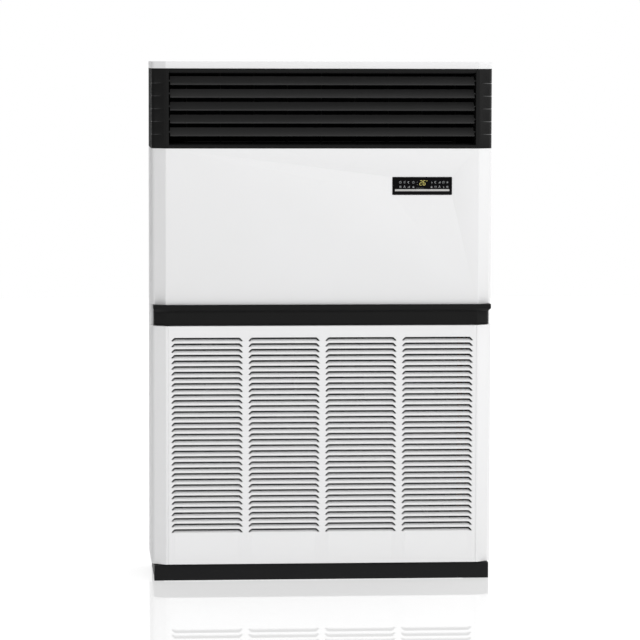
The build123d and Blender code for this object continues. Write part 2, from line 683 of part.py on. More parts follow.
for row, z in enumerate(BLADE_Z, start=1):
    with BuildPart() as outlet_blade:
        with BuildSketch(blade_plane(-BLADE_HALF, z)):
            SlotOverall(BLADE_CHORD, BLADE_THICKNESS)
        extrude(amount=2 * BLADE_HALF)
        with BuildSketch(blade_plane(-CHEEK_OUT - LINK_GAP, z)):
            pin(BLADE_PIN_RADIUS)
        extrude(amount=CHEEK_OUT + LINK_GAP + ARM_IN)
        with BuildSketch(blade_plane(ARM_IN, z)):
            with Locations((-BLADE_ARM / 2, 0)):
                SlotCenterToCenter(BLADE_ARM, BLADE_ARM_WIDTH)
        extrude(amount=ARM_THICKNESS)
        with BuildSketch(blade_plane(ARM_OUT, z)):
            with Locations((-BLADE_ARM, 0)):
                pin(LINK_PIN_RADIUS)
        extrude(amount=LINK_PIN_LENGTH)
    save(outlet_blade.part, f"outlet_blade_{row}")

LINK_Y = BLADE_PIVOT_Y + BLADE_ARM * math.cos(TILT)
LINK_RISE = BLADE_ARM * math.sin(TILT)
LINK_X = ARM_OUT + LINK_GAP
with BuildPart() as blade_link_rod:
    with BuildSketch(Plane.YZ.offset(LINK_X)):
        with Locations((LINK_Y, (BLADE_Z[0] + BLADE_Z[-1]) / 2 + LINK_RISE)):
            Rectangle(LINK_WIDTH, BLADE_Z[0] - BLADE_Z[-1] + LINK_WIDTH)
        with Locations(*[(LINK_Y, z + LINK_RISE) for z in BLADE_Z]):
            pin_hole(LINK_PIN_RADIUS)
    extrude(amount=LINK_THICKNESS)
save(blade_link_rod.part, "blade_link_rod")

# ---------------------------------------------------------------- upright guide vanes
VANE_LOW = FLOOR_Z + VANE_RAIL_SHEET + VANE_STEM
VANE_HIGH = CEILING_Z - VANE_RAIL_SHEET - SEAM_GAP
VANE_ARM_Z = FLOOR_Z + VANE_RAIL_SHEET + LINK_GAP
VANE_LINK_Z = VANE_ARM_Z + VANE_ARM_SHEET + LINK_GAP / 2
VANE_LINK_Y = VANE_PIVOT_Y + VANE_ARM
VANE_FRONT = VANE_PIVOT_Y - VANE_BALANCE

for column, x in enumerate(VANE_X, start=1):
    with BuildPart() as guide_vane:
        block(
            (x - VANE_THICKNESS / 2, x + VANE_THICKNESS / 2),
            (VANE_FRONT, VANE_FRONT + VANE_CHORD),
            (VANE_LOW, VANE_HIGH),
        )
        with BuildSketch(Plane.XY.offset(FLOOR_Z - SWING_BOSS_HEIGHT / 2)):
            with Locations((x, VANE_PIVOT_Y)):
                pin(VANE_PIN_RADIUS)
        extrude(until=Until.NEXT)
        with BuildSketch(Plane.XY.offset(VANE_HIGH)):
            with Locations((x, VANE_PIVOT_Y)):
                pin(VANE_PIN_RADIUS)
        extrude(amount=CEILING_Z - FIT - VANE_HIGH)
        with BuildSketch(Plane.XY.offset(VANE_ARM_Z)):
            with Locations((x, (VANE_PIVOT_Y + VANE_LINK_Y) / 2)):
                Rectangle(VANE_ARM_WIDTH, VANE_ARM + VANE_ARM_WIDTH)
        extrude(amount=VANE_ARM_SHEET)
        with BuildSketch(Plane.XY.offset(VANE_ARM_Z + VANE_ARM_SHEET)):
            with Locations((x, VANE_LINK_Y)):
                pin(LINK_PIN_RADIUS)
        extrude(amount=LINK_PIN_LENGTH)
    save(guide_vane.part, f"guide_vane_{column}")

with BuildPart() as vane_link_bar:
    with BuildSketch(Plane.XY.offset(VANE_LINK_Z)):
        with Locations((0, VANE_LINK_Y)):
            Rectangle(VANE_X[-1] - VANE_X[0] + 2 * VANE_LINK_MARGIN, LINK_WIDTH)
        with Locations(*[(x, VANE_LINK_Y) for x in VANE_X]):
            pin_hole(LINK_PIN_RADIUS)
    extrude(amount=LINK_THICKNESS)
save(vane_link_bar.part, "vane_link_bar")

# ---------------------------------------------------------------- louvred intake panel
INTAKE_LOW = Z_BASE + SEAM_GAP
INTAKE_HIGH = Z_BAND - SEAM_GAP
INNER_FACE = FACE + SHEET
RACK_FRONT = FACE + BASE_INSET + BASE_SHEET + FIT
RACK_REAR = RACK_FRONT + RACK_DEPTH
STUD_END = RACK_REAR + SEAM_GAP
STUD_Z = (INTAKE_LOW + STUD_FROM_END, INTAKE_HIGH - STUD_FROM_END)
LOUVRE_TOPS = INTAKE_HIGH - LOUVRE_TOP_DROP
LOUVRE_MIDDLE = LOUVRE_TOPS - LOUVRE_HEIGHT / 2 - (LOUVRE_ROWS - 1) * LOUVRE_PITCH / 2
LOUVRE_STEP = (2 * (SEAM_X - LOUVRE_MARGIN) + LOUVRE_GAP) / LOUVRE_COLUMNS
LOUVRE_LENGTH = LOUVRE_STEP - LOUVRE_GAP
STUD_X = SEAM_X - STUD_INSIDE


def louvre_hood(width):
    """One pressed louvre: it leans inwards from its foot up to its open top, between two ends."""
    with BuildPart() as hood:
        with BuildSketch(Plane.YZ.offset(-width / 2)):
            with BuildLine():
                Polyline(
                    (0, 0),
                    (SHEET, 0),
                    (LOUVRE_DEPTH + SHEET, LOUVRE_HEIGHT),
                    (0, LOUVRE_HEIGHT),
                    close=True,
                )
            make_face()
        extrude(amount=width)
        with BuildSketch(Plane.YZ.offset(SHEET - width / 2)):
            with BuildLine():
                Polyline((0, 0), (LOUVRE_DEPTH, LOUVRE_HEIGHT), (0, LOUVRE_HEIGHT), close=True)
            make_face()
        extrude(amount=width - 2 * SHEET, mode=Mode.SUBTRACT)
    return hood.part


with BuildSketch() as louvre_slot:
    with BuildLine():
        half = LOUVRE_LENGTH / 2
        drop = LOUVRE_HEIGHT / 2
        Polyline(
            (-half, -drop),
            (half, -drop),
            (half, drop - LOUVRE_CORNER),
            (half - LOUVRE_CORNER, drop),
            (LOUVRE_CORNER - half, drop),
            (-half, drop - LOUVRE_CORNER),
            close=True,
        )
    make_face()

louvre_columns = [(n - (LOUVRE_COLUMNS - 1) / 2) * LOUVRE_STEP for n in range(LOUVRE_COLUMNS)]
louvre_rows = [LOUVRE_MIDDLE + (n - (LOUVRE_ROWS - 1) / 2) * LOUVRE_PITCH for n in range(LOUVRE_ROWS)]
louvre_places = [(x, z) for x in louvre_columns for z in louvre_rows]
with BuildPart() as intake_panel:
    with BuildSketch(Plane.XZ.offset(-FACE)):
        with Locations((0, (INTAKE_LOW + INTAKE_HIGH) / 2)):
            Rectangle(2 * SEAM_X, INTAKE_HIGH - INTAKE_LOW)
        with Locations(*louvre_places):
            add(louvre_slot.sketch, mode=Mode.SUBTRACT)
    extrude(amount=-SHEET)
    with Locations(*[(x, FACE, z - LOUVRE_HEIGHT / 2) for x, z in louvre_places]):
        add(louvre_hood(LOUVRE_LENGTH + 2 * SHEET))
    for z in (INTAKE_LOW, INTAKE_HIGH - SHEET):
        block((-SEAM_X, SEAM_X), (INNER_FACE, FACE + PANEL_FLANGE), (z, z + SHEET))
save(intake_panel.part, "intake_panel")

for side, hand in ((-1, "left"), (1, "right")):
    lap = sorted((side * (SEAM_X - LAP_WIDTH), side * (SEAM_X + LAP_SEAT)))
    with BuildPart() as intake_wing:
        with BuildSketch(Plane.XY):
            with Locations((side * BODY_WIDTH / 2, 0)):
                Rectangle(BODY_WIDTH, DEPTH + 1)
        extrude(amount=HEIGHT)
        add(front_sheet(INTAKE_LOW, INTAKE_HIGH, SEAM_X + SEAM_GAP / 2), mode=Mode.INTERSECT)
        block(lap, (INNER_FACE, INNER_FACE + SHEET), (INTAKE_LOW + SHEET, INTAKE_HIGH - SHEET))
        with BuildSketch(Plane.XZ.offset(-(INNER_FACE + SHEET / 2))):
            with Locations(*[(side * STUD_X, z) for z in STUD_Z]):
                pin(STUD_RADIUS)
        extrude(amount=-(STUD_END - INNER_FACE - SHEET / 2))
    save(intake_wing.part, f"intake_wing_{hand}")

# ---------------------------------------------------------------- filter rack and filters
RACK_FOOT = Z_BASE + BASE_SHEET
RACK_FOOT_HALF = CREASE_X - (BASE_INSET + BASE_SHEET) * math.tan(BEVEL / 2) - SEAM_GAP
RACK_TOP = DECK_Z - FIT
FILTER_LOW = RACK_FOOT + RACK_SHEET + FIT
FILTER_HIGH = RACK_TOP - TOP_CHANNEL_DEPTH + FILTER_ENGAGE
TOP_CHANNEL_LOW = RACK_TOP - TOP_CHANNEL_DEPTH
FILTER_FRONT = RACK_REAR - RACK_SHEET - FIT - FILTER_THICKNESS
FILTER_BACK = FILTER_FRONT + FILTER_THICKNESS
RACK_LIP_TOP = RACK_FOOT + RACK_SHEET + LEDGE_LIP
RACK_CENTRE_HALF = RACK_CENTRE_WIDTH / 2
RACK_SIDE_X = HALF - RACK_SIDE_ROOM
SIDE_BAR_IN = RACK_SIDE_X - RACK_SIDE_WIDTH
REAR_PLATE = (RACK_REAR - RACK_SHEET, RACK_REAR)

with BuildPart() as filter_rack:
    for side in (-1, 1):
        plate = sorted((side * SIDE_BAR_IN, side * RACK_SIDE_X))
        web = sorted((side * (RACK_SIDE_X - RACK_SHEET), side * RACK_SIDE_X))
        block(plate, REAR_PLATE, (RACK_LIP_TOP, TOP_CHANNEL_LOW))
        block(web, (RACK_FRONT, RACK_REAR), (RACK_LIP_TOP, TOP_CHANNEL_LOW))
    block((-RACK_CENTRE_HALF, RACK_CENTRE_HALF), REAR_PLATE, (RACK_LIP_TOP, TOP_CHANNEL_LOW))
    block(
        (-RACK_SHEET / 2, RACK_SHEET / 2),
        (FILTER_FRONT - RACK_SHEET, RACK_REAR),
        (RACK_LIP_TOP, TOP_CHANNEL_LOW),
    )
    with BuildSketch(Plane.XZ.offset(-(RACK_REAR - RACK_SHEET - 1))):
        with Locations(*[(side * STUD_X, z) for side in (-1, 1) for z in STUD_Z]):
            pin_hole(STUD_RADIUS, Mode.ADD)
    extrude(amount=-2 * RACK_SHEET, mode=Mode.SUBTRACT)
    # The ledge that the filters stand on, and the channel that keeps their top edges
    block((-RACK_FOOT_HALF, RACK_FOOT_HALF), (RACK_FRONT, RACK_REAR), (RACK_FOOT, RACK_LIP_TOP))
    block(
        (-RACK_SIDE_X - 1, RACK_SIDE_X + 1),
        (RACK_FRONT + RACK_SHEET, RACK_REAR - RACK_SHEET),
        (RACK_FOOT + RACK_SHEET, RACK_LIP_TOP + 1),
        mode=Mode.SUBTRACT,
    )
    block((-RACK_FOOT_HALF, RACK_FOOT_HALF), (RACK_FRONT, RACK_REAR), (TOP_CHANNEL_LOW, RACK_TOP))
    block(
        (-RACK_SIDE_X - 1, RACK_SIDE_X + 1),
        (RACK_FRONT + RACK_SHEET, RACK_REAR - RACK_SHEET),
        (TOP_CHANNEL_LOW - 1, RACK_TOP - RACK_SHEET),
        mode=Mode.SUBTRACT,
    )
save(filter_rack.part, "filter_rack")

FILTER_IN = RACK_SHEET / 2 + SEAM_GAP / 2
FILTER_OUT = STUD_X - STUD_RADIUS - FILTER_SIDE_GAP
FILTER_MIDDLE = (FILTER_LOW + FILTER_HIGH) / 2
for side, hand in ((-1, "left"), (1, "right")):
    width = FILTER_OUT - FILTER_IN
    height = FILTER_HIGH - FILTER_LOW
    with BuildPart() as air_filter:
        with BuildSketch(Plane.XZ.offset(-FILTER_FRONT)):
            with Locations((side * (FILTER_IN + FILTER_OUT) / 2, FILTER_MIDDLE)):
                Rectangle(width, height)
                Rectangle(width - 2 * FILTER_FRAME, height - 2 * FILTER_FRAME, mode=Mode.SUBTRACT)
                with GridLocations(0, height / (FILTER_CROSS_BARS + 1), 1, FILTER_CROSS_BARS):
                    Rectangle(width - FILTER_FRAME, FILTER_BAR)
                Rectangle(FILTER_BAR, height - FILTER_FRAME)
        extrude(amount=-FILTER_THICKNESS)
        with BuildSketch(Plane.XZ.offset(-(FILTER_BACK - FILTER_THICKNESS / 2))):
            with Locations((side * (FILTER_IN + FILTER_OUT) / 2, FILTER_MIDDLE)):
                Rectangle(width - FILTER_FRAME, height - FILTER_FRAME)
        extrude(amount=-FILTER_MESH)
    save(air_filter.part, f"filter_{hand}")

# ---------------------------------------------------------------- blower
THROAT_FRONT = WHEEL_Y - SCROLL_STEP
THROAT_REAR = WHEEL_Y + SCROLL_STEP + SCROLL_TONGUE + 4 * SCROLL_STEP  # end of the third arc
SCROLL_CENTRES = (-SCROLL_X, SCROLL_X)

for x, hand in zip(SCROLL_CENTRES, ("left", "right")):
    with BuildPart() as scroll:
        with BuildSketch(Plane.YZ.offset(x - SCROLL_WIDTH / 2)):
            with BuildLine():
                step = SCROLL_STEP
                radii = [SCROLL_TONGUE + n * 2 * step for n in range(3)]
                tongue = (WHEEL_Y - step, WHEEL_Z - step + radii[0])
                front = (WHEEL_Y - step - radii[0], WHEEL_Z - step)
                bottom = (WHEEL_Y + step, WHEEL_Z - step - radii[1])
                back = (WHEEL_Y + step + radii[2], WHEEL_Z + step)
                Line((tongue[0], DECK_Z), tongue)
                RadiusArc(tongue, front, -radii[0])
                RadiusArc(front, bottom, -radii[1])
                RadiusArc(bottom, back, -radii[2])
                Line(back, (back[0], DECK_Z))
                Line((back[0], DECK_Z), (tongue[0], DECK_Z))
            make_face()
        extrude(amount=SCROLL_WIDTH)
        mouth = scroll.faces().sort_by(Axis.Z)[-1]
        offset(amount=-SCROLL_WALL, openings=mouth)
        for end in (x - SCROLL_WIDTH / 2 - COLLAR_LENGTH, x + SCROLL_WIDTH / 2 - COLLAR_LENGTH):
            for radius, mode in ((INLET_RADIUS + SCROLL_WALL, Mode.ADD), (INLET_RADIUS, Mode.SUBTRACT)):
                with BuildSketch(Plane.YZ.offset(end)):
                    with Locations((WHEEL_Y, WHEEL_Z)):
                        RegularPolygon(radius, RIM_SIDES)
                extrude(amount=2 * COLLAR_LENGTH, mode=mode)
    save(scroll.part, f"scroll_{hand}")

for x, hand in zip(SCROLL_CENTRES, ("left", "right")):
    with BuildPart() as fan_wheel:
        with BuildSketch(Plane.YZ.offset(x - WHEEL_WIDTH / 2)):
            with Locations((WHEEL_Y, WHEEL_Z)):
                with PolarLocations(WHEEL_RADIUS - WHEEL_BLADE_DEPTH / 2, WHEEL_BLADES):
                    Rectangle(WHEEL_BLADE_DEPTH, WHEEL_BLADE_SHEET, rotation=WHEEL_BLADE_ANGLE)
        extrude(amount=WHEEL_WIDTH)
        ring_x = (x - WHEEL_WIDTH / 2, x + WHEEL_WIDTH / 2 - WHEEL_RING)
        with BuildSketch(*[Plane.YZ.offset(start) for start in ring_x]):
            with Locations((WHEEL_Y, WHEEL_Z)):
                RegularPolygon(WHEEL_RADIUS, WHEEL_BLADES)
                RegularPolygon(WHEEL_RADIUS - WHEEL_BLADE_DEPTH, WHEEL_BLADES, mode=Mode.SUBTRACT)
        extrude(amount=WHEEL_RING)
        with BuildSketch(Plane.YZ.offset(x - WHEEL_RING / 2)):
            with Locations((WHEEL_Y, WHEEL_Z)):
                RegularPolygon(WHEEL_RADIUS, WHEEL_BLADES)
        extrude(amount=WHEEL_RING)
        with BuildSketch(Plane.YZ.offset(x - HUB_LENGTH / 2)):
            with Locations((WHEEL_Y, WHEEL_Z)):
                RegularPolygon(HUB_RADIUS, PIN_SIDES)
        extrude(amount=HUB_LENGTH)
        with BuildSketch(Plane.YZ.offset(x - HUB_LENGTH)):
            with Locations((WHEEL_Y, WHEEL_Z)):
                pin_hole(SHAFT_RADIUS, Mode.ADD)
        extrude(amount=2 * HUB_LENGTH, mode=Mode.SUBTRACT)
    save(fan_wheel.part, f"fan_wheel_{hand}")

SHAFT_HALF = SCROLL_X + SCROLL_WIDTH / 2 + SHAFT_PAST_SCROLL
with BuildPart() as fan_shaft:
    with BuildSketch(Plane.YZ.offset(-SHAFT_HALF)):
        with Locations((WHEEL_Y, WHEEL_Z)):
            pin(SHAFT_RADIUS)
    extrude(amount=2 * SHAFT_HALF)
save(fan_shaft.part, "fan_shaft")

with BuildPart() as fan_motor:
    for radius, reach in ((MOTOR_RADIUS, MOTOR_LENGTH / 2), (SPIGOT_RADIUS, SPIGOT_REACH)):
        with BuildSketch(Plane.YZ.offset(-reach)):
            with Locations((WHEEL_Y, WHEEL_Z)):
                RegularPolygon(radius, RIM_SIDES)
        extrude(amount=2 * reach)
    with BuildSketch(Plane.YZ.offset(-SPIGOT_REACH)):
        with Locations((WHEEL_Y, WHEEL_Z)):
            pin_hole(SHAFT_RADIUS, Mode.ADD)
    extrude(amount=2 * SPIGOT_REACH, mode=Mode.SUBTRACT)
save(fan_motor.part, "fan_motor")

CRADLE_OUT = CRADLE_X + CRADLE_SHEET
CRADLE_Y = (WHEEL_Y - CRADLE_WIDTH / 2, WHEEL_Y + CRADLE_WIDTH / 2)
with BuildPart() as motor_cradle:
    block((-CRADLE_OUT, CRADLE_OUT), CRADLE_Y, (DECK_Z - CRADLE_SHEET, DECK_Z))
    for side in (-1, 1):
        hanger = sorted((side * CRADLE_X, side * CRADLE_OUT))
        block(hanger, CRADLE_Y, (WHEEL_Z - SPIGOT_RADIUS - CRADLE_SHEET * 4, DECK_Z))
    with BuildSketch(Plane.YZ.offset(-CRADLE_OUT - 1)):
        with Locations((WHEEL_Y, WHEEL_Z)):
            RegularPolygon(SPIGOT_RADIUS + FIT, RIM_SIDES)
    extrude(amount=2 * CRADLE_OUT + 2, mode=Mode.SUBTRACT)
save(motor_cradle.part, "motor_cradle")

# Each outer bearing sits in a bridge over the collar of its inlet, fixed to the scroll's side
BRIDGE_IN = SCROLL_X + SCROLL_WIDTH / 2
BRIDGE_BAR = BRIDGE_IN + COLLAR_LENGTH + FIT
BRIDGE_OUT = BRIDGE_BAR + BEARING_BAR
BRIDGE_HALF = INLET_RADIUS + SCROLL_WALL + SEAM_GAP + BEARING_FOOT
BRIDGE_Y = (WHEEL_Y - BEARING_WIDTH / 2, WHEEL_Y + BEARING_WIDTH / 2)
with BuildPart() as shaft_bearings:
    block((BRIDGE_BAR, BRIDGE_OUT), BRIDGE_Y, (WHEEL_Z - BRIDGE_HALF, WHEEL_Z + BRIDGE_HALF))
    for low in (WHEEL_Z - BRIDGE_HALF, WHEEL_Z + BRIDGE_HALF - BEARING_FOOT):
        block((BRIDGE_IN, BRIDGE_OUT), BRIDGE_Y, (low, low + BEARING_FOOT))
    with BuildSketch(Plane.YZ.offset(BRIDGE_OUT - BEARING_BOSS_LENGTH / 2)):
        with Locations((WHEEL_Y, WHEEL_Z)):
            RegularPolygon(BEARING_BOSS_RADIUS, RIM_SIDES)
    extrude(amount=BEARING_BOSS_LENGTH)
    with BuildSketch(Plane.YZ.offset(BRIDGE_IN)):
        with Locations((WHEEL_Y, WHEEL_Z)):
            pin_hole(SHAFT_RADIUS, Mode.ADD)
    extrude(amount=4 * COLLAR_LENGTH, mode=Mode.SUBTRACT)
    mirror(about=Plane.YZ)
save(shaft_bearings.part, "shaft_bearings")

# ---------------------------------------------------------------- deck and bulkhead
COIL_LEAN = math.radians(COIL_ANGLE)
COIL_FOOT_Z = DECK_TOP + DRAIN_PAN_WALL + FIT + COIL_THICKNESS / 2 * math.sin(COIL_LEAN)


def coil_y(z):
    """Depth of the coil's middle plane at a height."""
    return COIL_FOOT_Y + (z - COIL_FOOT_Z) * math.tan(COIL_LEAN)


SUCTION_Y = coil_y(SUCTION_JOINT_Z)
LIQUID_Y = coil_y(LIQUID_JOINT_Z)
DRAIN_Y = (DRAIN_PAN_FRONT + DRAIN_PAN_REAR) / 2
DECK_INSET = BAND_INSET + BAND_WALL + FIT
MOUTH_INNER = (THROAT_FRONT + SCROLL_WALL, THROAT_REAR - SCROLL_WALL)
PIPE_HOLES = (
    (SUCTION_X, SUCTION_Y, SUCTION_RADIUS),
    (LIQUID_X, LIQUID_Y, LIQUID_RADIUS),
    (DRAIN_X, DRAIN_Y, DRAIN_RADIUS),
)

with BuildPart() as blower_deck:
    with BuildSketch(Plane.XY.offset(DECK_Z)):
        add(plan_outline(DECK_INSET, INNER_REAR))
        with GridLocations(2 * HALF, 0, 2, 1):
            Rectangle(2 * (FLANGE + FIT), 2 * (FIT - SIDE_FRONT), mode=Mode.SUBTRACT)
        with Locations((0, (BULKHEAD_FRONT + INNER_REAR) / 2)):
            Rectangle(2 * INNER_HALF, INNER_REAR - BULKHEAD_FRONT)
        for x in SCROLL_CENTRES:
            with Locations((x, sum(MOUTH_INNER) / 2)):
                Rectangle(
                    SCROLL_WIDTH - 2 * SCROLL_WALL,
                    MOUTH_INNER[1] - MOUTH_INNER[0],
                    mode=Mode.SUBTRACT,
                )
        for x, y, radius in PIPE_HOLES:
            with Locations((x, y)):
                Circle(radius + DECK_HOLE_GAP, mode=Mode.SUBTRACT)
    extrude(amount=DECK_SHEET)
save(blower_deck.part, "blower_deck")

with BuildPart() as inner_bulkhead:
    block(
        (-INNER_HALF, INNER_HALF),
        (BULKHEAD_FRONT, BULKHEAD_FRONT + SHEET),
        (DECK_TOP, Z_OUTLET - FIT),
    )
    for low in (DECK_TOP, Z_OUTLET - FIT - SHEET):
        block(
            (-SEAM_X, SEAM_X),
            (BULKHEAD_FRONT - PANEL_FLANGE, BULKHEAD_FRONT),
            (low, low + SHEET),
        )
save(inner_bulkhead.part, "inner_bulkhead")

# ---------------------------------------------------------------- coil, drain pan and pipes
DRAIN_PAN_HALF = COIL_WIDTH / 2 + DRAIN_PAN_PAST_COIL
COIL_PLANE = Plane(
    origin=(0, COIL_FOOT_Y, COIL_FOOT_Z),
    x_dir=(1, 0, 0),
    z_dir=(0, math.sin(COIL_LEAN), math.cos(COIL_LEAN)),
)
with BuildPart() as evaporator_coil:
    with BuildSketch(COIL_PLANE):
        Rectangle(COIL_WIDTH, COIL_THICKNESS - 2 * COIL_PLATE_MARGIN)
    extrude(amount=COIL_LENGTH)
    with BuildSketch(COIL_PLANE):
        with GridLocations(COIL_WIDTH - COIL_PLATE, 0, 2, 1):
            Rectangle(COIL_PLATE, COIL_THICKNESS)
    extrude(amount=COIL_LENGTH)
save(evaporator_coil.part, "evaporator_coil")

with BuildPart() as coil_bends:
    for number in range(BEND_COUNT):
        bend_z = COIL_FOOT_Z + (number + 1) * BEND_PITCH * math.cos(COIL_LEAN)
        centre = (-COIL_WIDTH / 2, coil_y(bend_z), bend_z)
        with BuildSketch(Plane(origin=centre, x_dir=(0, 0, 1), z_dir=(-1, 0, 0))):
            with Locations((BEND_RADIUS, 0)):
                RegularPolygon(COIL_TUBE_RADIUS, 6)
        revolve(axis=Axis(centre, (0, -1, 0)), revolution_arc=180)
save(coil_bends.part, "coil_bends")

with BuildPart() as drain_pan:
    pan_x = (-DRAIN_PAN_HALF, DRAIN_PAN_HALF)
    block(pan_x, (DRAIN_PAN_FRONT, DRAIN_PAN_REAR), (DECK_TOP, DECK_TOP + DRAIN_PAN_HEIGHT))
    block(
        (DRAIN_PAN_WALL - DRAIN_PAN_HALF, DRAIN_PAN_HALF - DRAIN_PAN_WALL),
        (DRAIN_PAN_FRONT + DRAIN_PAN_WALL, DRAIN_PAN_REAR - DRAIN_PAN_WALL),
        (DECK_TOP + DRAIN_PAN_WALL, DECK_TOP + DRAIN_PAN_HEIGHT + 1),
        mode=Mode.SUBTRACT,
    )
save(drain_pan.part, "drain_pan")


def pipe(points, radius):
    """A pipe along straight runs joined by arcs, with a round stub at its last end."""
    x, y, z = points[-1]
    with BuildPart() as run:
        with BuildLine() as route:
            FilletPolyline(*points[:-1], (x, y - PIPE_STUB, z), radius=PIPE_BEND)
        with BuildSketch(Plane(origin=route.line @ 0, z_dir=route.line % 0)):
            RegularPolygon(radius, PIN_SIDES)
        sweep(path=route.line)
        with BuildSketch(Plane.XZ.offset(PIPE_STUB - y)):
            with Locations((x, z)):
                Circle(radius)
        extrude(amount=-PIPE_STUB)
    return run.part


PIPE_RUNS = (
    ("suction_pipe", SUCTION_X, SUCTION_Y, SUCTION_JOINT_Z, SUCTION_RADIUS),
    ("liquid_pipe", LIQUID_X, LIQUID_Y, LIQUID_JOINT_Z, LIQUID_RADIUS),
)
for name, x, y, joint_z, radius in PIPE_RUNS:
    corners = (
        (COIL_WIDTH / 2, y, joint_z),
        (x, y, joint_z),
        (x, y, PIPE_OPENING_Z),
        (x, PIPE_END_Y, PIPE_OPENING_Z),
    )
    save(pipe(corners, radius), name)

drain_route = (
    (DRAIN_X, DRAIN_Y, DECK_TOP - FIT),
    (DRAIN_X, DRAIN_Y, PIPE_OPENING_Z),
    (DRAIN_X, PIPE_END_Y, PIPE_OPENING_Z),
)
save(pipe(drain_route, DRAIN_RADIUS), "drain_hose")

# ---------------------------------------------------------------- electrical parts
BOX_LEFT_X = BOX_FROM_SIDE - HALF
with BuildPart() as control_box:
    block(
        (BOX_LEFT_X, BOX_LEFT_X + BOX_WIDTH),
        (BULKHEAD_FRONT - BOX_DEPTH + BOX_LID, BULKHEAD_FRONT),
        (BOX_BOTTOM_Z, BOX_BOTTOM_Z + BOX_HEIGHT),
    )
    block(
        (BOX_LEFT_X - SHEET, BOX_LEFT_X + BOX_WIDTH + SHEET),
        (BULKHEAD_FRONT - BOX_DEPTH, BULKHEAD_FRONT - BOX_DEPTH + BOX_LID),
        (BOX_BOTTOM_Z - SHEET, BOX_BOTTOM_Z + BOX_HEIGHT + SHEET),
    )
save(control_box.part, "control_box")

pole_pitch = (TERMINAL_WIDTH - TERMINAL_WALL) / TERMINAL_POLES
pole = (pole_pitch - TERMINAL_WALL, TERMINAL_DEPTH, TERMINAL_HEIGHT - 2 * TERMINAL_WALL)
with BuildPart() as terminal_block:
    with Locations((TERMINAL_X, BULKHEAD_FRONT - TERMINAL_DEPTH / 2, TERMINAL_Z)):
        Box(TERMINAL_WIDTH, TERMINAL_DEPTH, TERMINAL_HEIGHT)
    with Locations((TERMINAL_X, BULKHEAD_FRONT - TERMINAL_DEPTH, TERMINAL_Z)):
        with GridLocations(pole_pitch, 0, TERMINAL_POLES, 1):
            Box(*pole, mode=Mode.SUBTRACT)
save(terminal_block.part, "terminal_block")
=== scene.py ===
import json
import math

import bmesh
import bpy
from mathutils import Matrix, Vector


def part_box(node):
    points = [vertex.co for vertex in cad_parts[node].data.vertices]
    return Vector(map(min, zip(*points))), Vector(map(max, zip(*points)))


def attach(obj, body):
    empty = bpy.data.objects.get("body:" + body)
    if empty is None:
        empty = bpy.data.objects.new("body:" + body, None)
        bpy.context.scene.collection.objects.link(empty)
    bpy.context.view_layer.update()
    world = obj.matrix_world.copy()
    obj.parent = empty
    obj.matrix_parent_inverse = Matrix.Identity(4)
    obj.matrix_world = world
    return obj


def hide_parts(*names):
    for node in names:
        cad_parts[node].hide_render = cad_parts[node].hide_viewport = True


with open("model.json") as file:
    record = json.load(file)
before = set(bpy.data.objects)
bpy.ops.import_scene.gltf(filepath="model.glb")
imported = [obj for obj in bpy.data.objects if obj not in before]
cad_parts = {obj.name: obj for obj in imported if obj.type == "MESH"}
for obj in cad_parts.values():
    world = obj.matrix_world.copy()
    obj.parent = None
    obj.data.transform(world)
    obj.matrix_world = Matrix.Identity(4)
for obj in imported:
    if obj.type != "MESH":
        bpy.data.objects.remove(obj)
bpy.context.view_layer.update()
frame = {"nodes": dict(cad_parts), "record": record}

# Floor standing cabinet air conditioner. Metres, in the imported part's own frame: the origin is
# on the floor, +X is to the right of someone who faces the unit, and the front looks along -Y.

MM = 0.001
NEAR = 1e-5  # points closer than this are taken as one

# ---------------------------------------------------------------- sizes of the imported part
FACE = -0.1875
SHEET = 0.0012
PANEL_HALF = 0.550
PANEL_LOW, PANEL_HIGH = 0.060, 0.9125
PANEL_FLANGE = 0.015
LOUVRE_ROWS, LOUVRE_COLUMNS = 35, 4
LOUVRE_PITCH, LOUVRE_STEP = 0.02013, 0.2744
LOUVRE_LENGTH, LOUVRE_HEIGHT, LOUVRE_DEPTH = 0.254, 0.0145, 0.0112
LOUVRE_TOP = 0.8715  # top edge of the first slot
CHEEK_X = 0.5505  # the outlet corners' cheeks begin here
WINDOW_X, WINDOW_Z = 0.354, 1.410
COIL_THICKNESS, COIL_LEAN = 0.060, math.radians(20)
BLADES = range(1, 6)
VANES = range(1, 10)


# ---------------------------------------------------------------- material helpers
def linear(hex_colour):
    """An sRGB hex colour as linear RGBA."""
    channels = [int(hex_colour[i:i + 2], 16) / 255 for i in (1, 3, 5)]
    return [c / 12.92 if c <= 0.04045 else ((c + 0.055) / 1.055) ** 2.4 for c in channels] + [1.0]


def add_node(tree, kind, values=None, links=None, **settings):
    """One node, with its settings, the values of its own sockets, and what feeds them."""
    made = tree.nodes.new(kind)
    for key, value in settings.items():
        setattr(made, key, value)
    for key, value in (values or {}).items():
        made.inputs[key].default_value = value
    for key, source in (links or {}).items():
        tree.links.new(source, made.inputs[key])
    return made


def empty_tree(owner):
    """The node tree of a material or a world, cleared."""
    owner.use_nodes = True
    owner.node_tree.nodes.clear()
    return owner.node_tree


MIX_FACTOR, MIX_A, MIX_B, MIX_OUT = 0, 6, 7, 2  # the colour sockets of a Mix node


